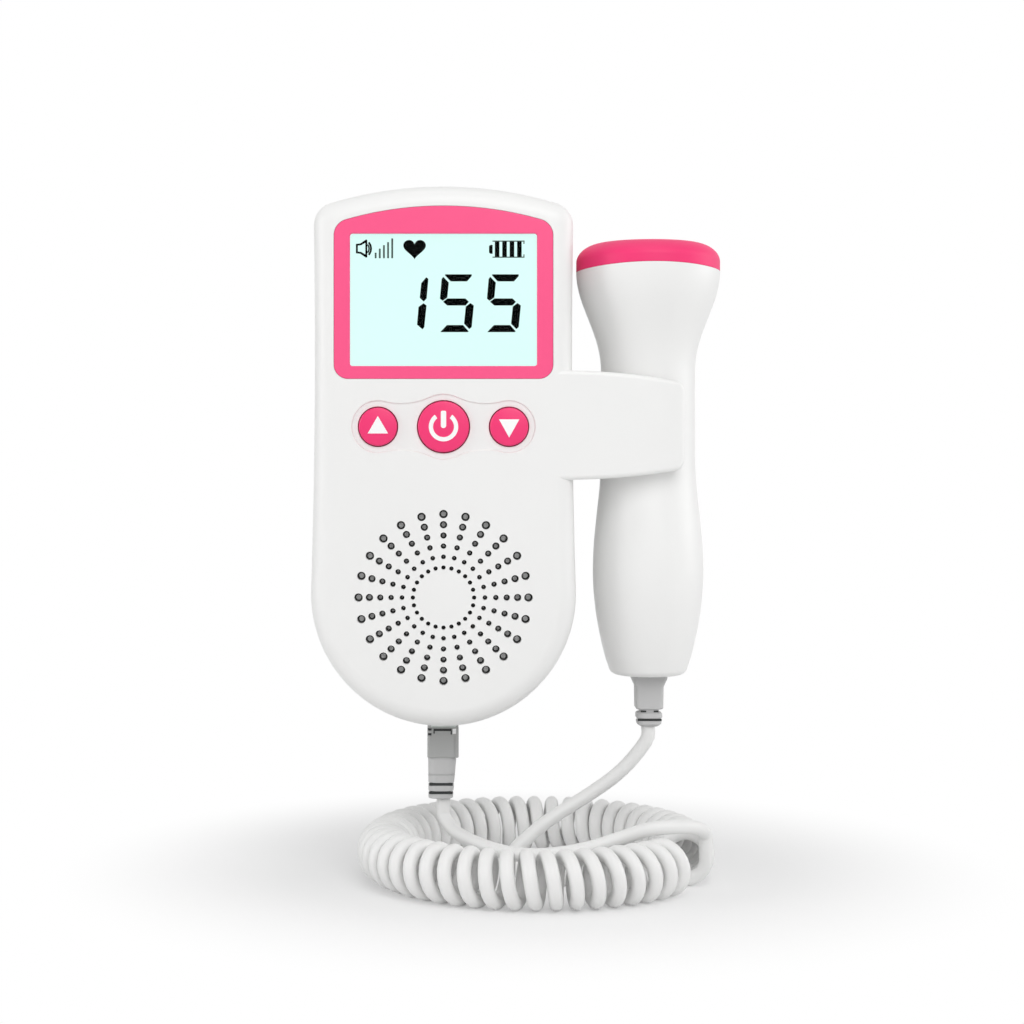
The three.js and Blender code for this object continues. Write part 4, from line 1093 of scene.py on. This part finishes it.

# Cord: one tube along the unit's free end, the curly ring and the probe's free end
cord = {
    "diameter": 3.45, "ring": (23, -17.5, -63.8), "ringRadius": 37.4, "curl": 5.45, "perCircle": 51,
    "curls": 48.25, "start": math.radians(-18), "lead": 2.4, "steps": 22, "sides": 14, "spacing": 1.6,
    "blendZ": (-50.1, -34),
    "unitEnd": (0, middleY, -50.2), "probeEnd": (51.1, middleY, -32.9),
    "unitTail": [(0, -17.6, -55), (2.6, -22.5, -58.2), (8.6, -31, -60), (16.9, -37.2, -61.2),
                 (25.7, -39.6, -60.9), (34.9, -39.4, -59.4), (44, -38, -56.8), (48.4, -38.9, -55.2),
                 (52.7, -39.6, -54.4), (58.2, -37.6, -54.6), (61.6, -34.4, -55.6)],
    "probeTail": [(45.5, -32.6, -69.2), (38, -28.2, -69.2), (29, -26.8, -69.2), (21, -25.6, -68.8),
                  (16.6, -23.8, -66.4), (17.4, -22.6, -63.3), (20.4, -21.4, -60.6), (24.2, -20, -57.6),
                  (28.6, -18.8, -54.7), (36.3, -17.6, -50.1), (43.4, -17.5, -45), (48.2, -17.5, -40)],
}


def ringPoint(turn):
    c = cord
    around = c["start"] + turn / c["perCircle"]
    out = c["ringRadius"] + c["curl"] * math.sin(turn)
    x, y, z = c["ring"]
    return Vector((x + out * math.cos(around), y + out * math.sin(around), z + c["curl"] * math.cos(turn)))


# Smooth line through points, in which a stretch's pace follows the square root of its length
def smoothLine(points, spacing):
    points = [Vector(p) for p in points]
    whole = [2 * points[0] - points[1]] + points + [2 * points[-1] - points[-2]]
    line = []
    for p0, p1, p2, p3 in zip(whole, whole[1:], whole[2:], whole[3:]):
        t0, t1, t2 = (math.sqrt((b - a).length) for a, b in ((p0, p1), (p1, p2), (p2, p3)))
        m1 = ((p1 - p0) / t0 - (p2 - p0) / (t0 + t1) + (p2 - p1) / t1) * t1
        m2 = ((p2 - p1) / t1 - (p3 - p1) / (t1 + t2) + (p3 - p2) / t2) * t1
        steps = max(round((p2 - p1).length / spacing), 1)
        for i in range(steps):
            t = i / steps
            line.append(p1 + m1 * t + (3 * (p2 - p1) - 2 * m1 - m2) * t * t
                        + (2 * (p1 - p2) + m1 + m2) * t ** 3)
    return line + [points[-1]]


def cordLine():
    c = cord
    first = math.pi / 2
    last = first + 2 * math.pi * c["curls"]
    steps = round(c["curls"] * c["steps"])
    coil = [ringPoint(first + (last - first) * i / steps) for i in range(steps + 1)]
    nudge = 1e-3
    heading = [(ringPoint(turn + nudge) - ringPoint(turn - nudge)).normalized() for turn in (first, last)]
    lead, stub = c["lead"] + fit, c["diameter"]
    down = Vector((0, 0, -1))
    unitEnd, probeEnd = Vector(c["unitEnd"]), Vector(c["probeEnd"])
    startStub, endStub = coil[0] - heading[0] * stub, coil[-1] + heading[1] * stub
    unitTail = smoothLine([unitEnd, unitEnd + down * lead, *c["unitTail"],
                           startStub - heading[0] * lead, startStub, coil[0]], c["spacing"])
    probeTail = smoothLine([coil[-1], endStub, endStub + heading[1] * lead, *c["probeTail"],
                            probeEnd + down * lead, probeEnd], c["spacing"])
    return unitTail[:-1] + coil + probeTail[1:]


def tube(name, line, radius, sides):
    rings = []
    side = Vector((1, 0, 0))
    for i, point in enumerate(line):
        heading = (line[min(i + 1, len(line) - 1)] - line[max(i - 1, 0)]).normalized()
        side = (side - heading * side.dot(heading)).normalized()
        up = heading.cross(side)
        rings.append([tuple(point + (side * math.cos(a) + up * math.sin(a)) * radius) for a in
                      (2 * math.pi * k / sides for k in range(sides))])
    return loft(name, rings)


def makeCord():
    c = cord
    line = cordLine()
    piece = tube("curlyCord", line, c["diameter"] / 2, c["sides"])
    dress(piece, "cordPvc", None, ["cord_coil", "cord_unit_tail", "cord_probe_tail"], angle=60)
    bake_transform(piece)


makeCord()
print("cord ready")


# Battery door with tongues at its top and a grip of cut lines near its foot
grip = {"lines": 7, "pitch": 1.5, "width": 11.0, "height": 0.7, "z": 36.0, "depth": 0.9}


def gripField(tree, given, index):
    up = fieldMath(tree, index, ("MULTIPLY", given["pitch"]), ("ADD", given["z"]))
    size = addNode(tree, "ShaderNodeCombineXYZ", None,
                   {"X": given["width"], "Y": given["depth"], "Z": given["height"]})
    line = addNode(tree, "GeometryNodeMeshCube", None, {"Size": size})
    return {"count": given["lines"], "place": {"Z": up}, "shape": line}


def batteryDoor():
    d = door
    rounding = [(d["round"] * (1 - math.cos(a)), -d["round"] * (1 - math.sin(a))) for a in quarter(5)]
    piece = loft("batteryDoor", [[(x, y, z) for x, z in doorOutline(inset)]
                                 for inset, y in [(0, -d["thick"])] + rounding])
    near, far = d["tongueY"]
    for x in (-d["tongueX"], d["tongueX"]):
        x0, x1 = x - d["tongueHalf"], x + d["tongueHalf"]
        combine(piece, "UNION", block("root", x0, x1, near, d["root"], bay["top"], d["top"] - d["round"]),
                block("tip", x0, x1, near, far, bay["top"], d["tongueTop"]))
    combine(piece, "DIFFERENCE", repeats("gripCutter", grip, gripField, "absShell"))
    return dress(piece, "absShell", "door", ["battery_door"])


batteryDoor()

# The two cells, one head up and one head down, each pressed by a wound cone spring
cell = {"x": 7.5, "y": -9.25, "radius": 7.25, "can": 6.3, "nub": 2.75, "shoulder": 49.5, "length": 50.5,
        "edge": 0.5, "bare": 0.3, "turn": 0.2, "leftBase": 37.0, "rightBase": 32.2}
spring = {"base": 3.0, "tip": 1.9, "wire": 0.4, "turns": 4.5, "length": 4.5, "steps": 144, "sides": 10,
          "gap": 0.3, "opening": 1.2}


def makeCell(side, x, base, up):
    c, s = cell, spring
    sign = 1 if up else -1
    place = (x, c["y"], base if up else base + c["length"])

    def part(name, pairs, materialName, nodes=()):
        piece = turned(f"{name}_{side}", [(r, sign * h) for r, h in pairs], place, "Z", 64)
        dress(piece, materialName, "unit", nodes)

    top, low, edge = c["shoulder"] - c["bare"], c["bare"], c["edge"]
    lowRim = arc(c["radius"] - edge, low + edge, edge, -math.pi / 2, 0, 5)
    topRim = arc(c["radius"] - edge, top - edge, edge, 0, math.pi / 2, 5)
    part("cellSleeve", lowRim + topRim, "cellSleeve", [f"battery_cell_{side}"])
    can, nub, turn = c["can"], c["nub"], c["turn"]
    part("cellCan", [(can - turn, 0), (can, turn), (can, c["shoulder"] - turn), (can - turn, c["shoulder"]),
                     (nub, c["shoulder"]), (nub, c["length"] - turn), (nub - turn, c["length"])], "steel")
    end = place[2] - sign * (s["length"] + s["gap"])
    line = []
    for i in range(s["steps"] + 1):
        share = i / s["steps"]
        radius = s["base"] + (s["tip"] - s["base"]) * share
        angle = 2 * math.pi * s["turns"] * share
        rise = s["wire"] + (s["length"] - 2 * s["wire"]) * share ** s["opening"]
        line.append(Vector((x + radius * math.cos(angle), c["y"] + radius * math.sin(angle),
                            end + sign * rise)))
    dress(tube(f"batterySpring_{side}", line, s["wire"], s["sides"]), "steel", "unit",
          [f"battery_spring_{side}"])


makeCell("left", -cell["x"], cell["leftBase"], True)
makeCell("right", cell["x"], cell["rightBase"], False)

# Casing screws: one head and shank, put at the four places by a node group
screw = {"tip": -20.1, "point": 0.6, "taper": 0.4, "neck": -11.1, "head": -9.5, "shank": 1.1,
         "radius": 2.3, "edge": [(0, 0.4), (0.15, 0.12), (0.5, 0)], "slot": (1.4, 0.25), "slotDepth": 0.9}


def oneScrew():
    s = screw
    shank = [(s["shank"] - s["taper"], s["tip"]), (s["shank"], s["tip"] + s["point"]),
             (s["shank"], s["neck"])]
    head = [(s["radius"], s["neck"])] + [(s["radius"] - inset, s["head"] - drop)
                                         for inset, drop in s["edge"]]
    piece = turned("oneScrew", shank + head, (0, 0, 0), "Y", 40)
    long, short = s["slot"]
    for x, z in ((long, short), (short, long)):
        combine(piece, "DIFFERENCE", block("slot", -x, x, s["head"] - s["slotDepth"], 0, -z, z))
    return piece


def screwField(tree, given, index):
    row = fieldMath(tree, index, ("DIVIDE", 2.0), ("FLOOR", None))
    side = fieldMath(tree, index, ("MODULO", 2.0), ("MULTIPLY", 2.0), ("SUBTRACT", 1.0))
    wide = fieldMath(tree, row, ("MULTIPLY", given["narrowing"]), ("ADD", given["lowX"]))
    across = fieldMath(tree, side, ("MULTIPLY", wide))
    up = fieldMath(tree, row, ("MULTIPLY", given["rise"]), ("ADD", given["lowZ"]))
    made = addNode(tree, "GeometryNodeObjectInfo")
    made.inputs["Object"].default_value = bpy.data.objects["oneScrew"]
    return {"count": given["count"], "place": {"X": across, "Z": up}, "shape": made.outputs["Geometry"]}


def casingScrews():
    pattern = oneScrew()
    screws = repeats("casingScrews", screwRows, screwField, "steel")
    dress(screws, None, "unit", [f"casing_screw_{i}" for i in range(1, screwRows["count"] + 1)])
    bpy.data.objects.remove(pattern)


casingScrews()
print("door and screws ready")

# Floor that fades to the white of the backdrop away from the cord, and soft studio light
stage = {"x": 23, "z": -71.0, "size": 6000, "white": 0.9, "roughness": 0.7, "fadeFrom": 0.05,
         "fadeTo": 0.125, "lift": 0.3, "world": 0.34}
lampTarget = (20, middleY, 20)
lamps = {
    "front": {"at": (200, -850, 600), "size": 800, "power": 4.8},
    "left": {"at": (-800, -260, 240), "size": 500, "power": 1.75},
    "right": {"at": (760, 40, 240), "size": 500, "power": 1.3},
    "top": {"at": (40, -150, 900), "size": 500, "power": 0.8},
}


# Rays that meet the white backdrop: the camera's own, and those off or through the object
def backdropRays(tree):
    path = addNode(tree, "ShaderNodeLightPath").outputs
    kinds = path["Is Camera Ray"]
    for other in ("Is Glossy Ray", "Is Transmission Ray"):
        kinds = addNode(tree, "ShaderNodeMath", {"operation": "MAXIMUM"}, {0: kinds, 1: path[other]})
    return kinds


def makeFloor(s):
    material, tree, shader = newMaterial("paperSweep", {
        "Roughness": s["roughness"], "Base Color": (s["white"], s["white"], s["white"], 1)})
    place = addNode(tree, "ShaderNodeTexCoord").outputs["Object"]
    away = addNode(tree, "ShaderNodeVectorMath", {"operation": "LENGTH"}, {0: place}).outputs["Value"]
    fade = addNode(tree, "ShaderNodeMapRange", {"interpolation_type": "SMOOTHSTEP", 1: s["fadeFrom"],
                                                2: s["fadeTo"], 3: s["lift"]}, {0: away})
    share = addNode(tree, "ShaderNodeMath", {"operation": "MULTIPLY"}, {0: fade, 1: backdropRays(tree)})
    plain = addNode(tree, "ShaderNodeEmission", {"Strength": 1.0})
    both = addNode(tree, "ShaderNodeMixShader", None, {0: share, 1: shader, 2: plain})
    tree.links.new(both.outputs[0], tree.nodes["Material Output"].inputs["Surface"])
    half = s["size"] / 2 * mm
    mesh = bpy.data.meshes.new("floor")
    mesh.from_pydata([(x, y, 0) for x, y in corners(-half, half, -half, half)], [], [(0, 1, 2, 3)])
    mesh.materials.append(material)
    floor = addObject("floor", mesh)
    floor.location = Vector((s["x"], 0, s["z"])) * mm


def makeWorld(s):
    world = bpy.data.worlds.new("studio")
    world.use_nodes = True
    scene.world = world
    tree = world.node_tree
    background = tree.nodes["Background"]
    background.inputs["Color"].default_value = (1, 1, 1, 1)
    level = addNode(tree, "ShaderNodeMapRange", {3: s["world"], 4: 1.0}, {0: backdropRays(tree)})
    tree.links.new(level.outputs[0], background.inputs["Strength"])


def makeLamp(name, lamp):
    data = bpy.data.lights.new(name, "AREA")
    data.shape = "DISK"
    data.size = lamp["size"] * mm
    data.energy = lamp["power"]
    made = addObject(name, data)
    made.location = Vector(lamp["at"]) * mm
    made.rotation_euler = (Vector(lampTarget) * mm - made.location).to_track_quat("-Z", "Y").to_euler()


makeFloor(stage)
makeWorld(stage)
for name, lamp in lamps.items():
    makeLamp(name, lamp)
print("stage ready")
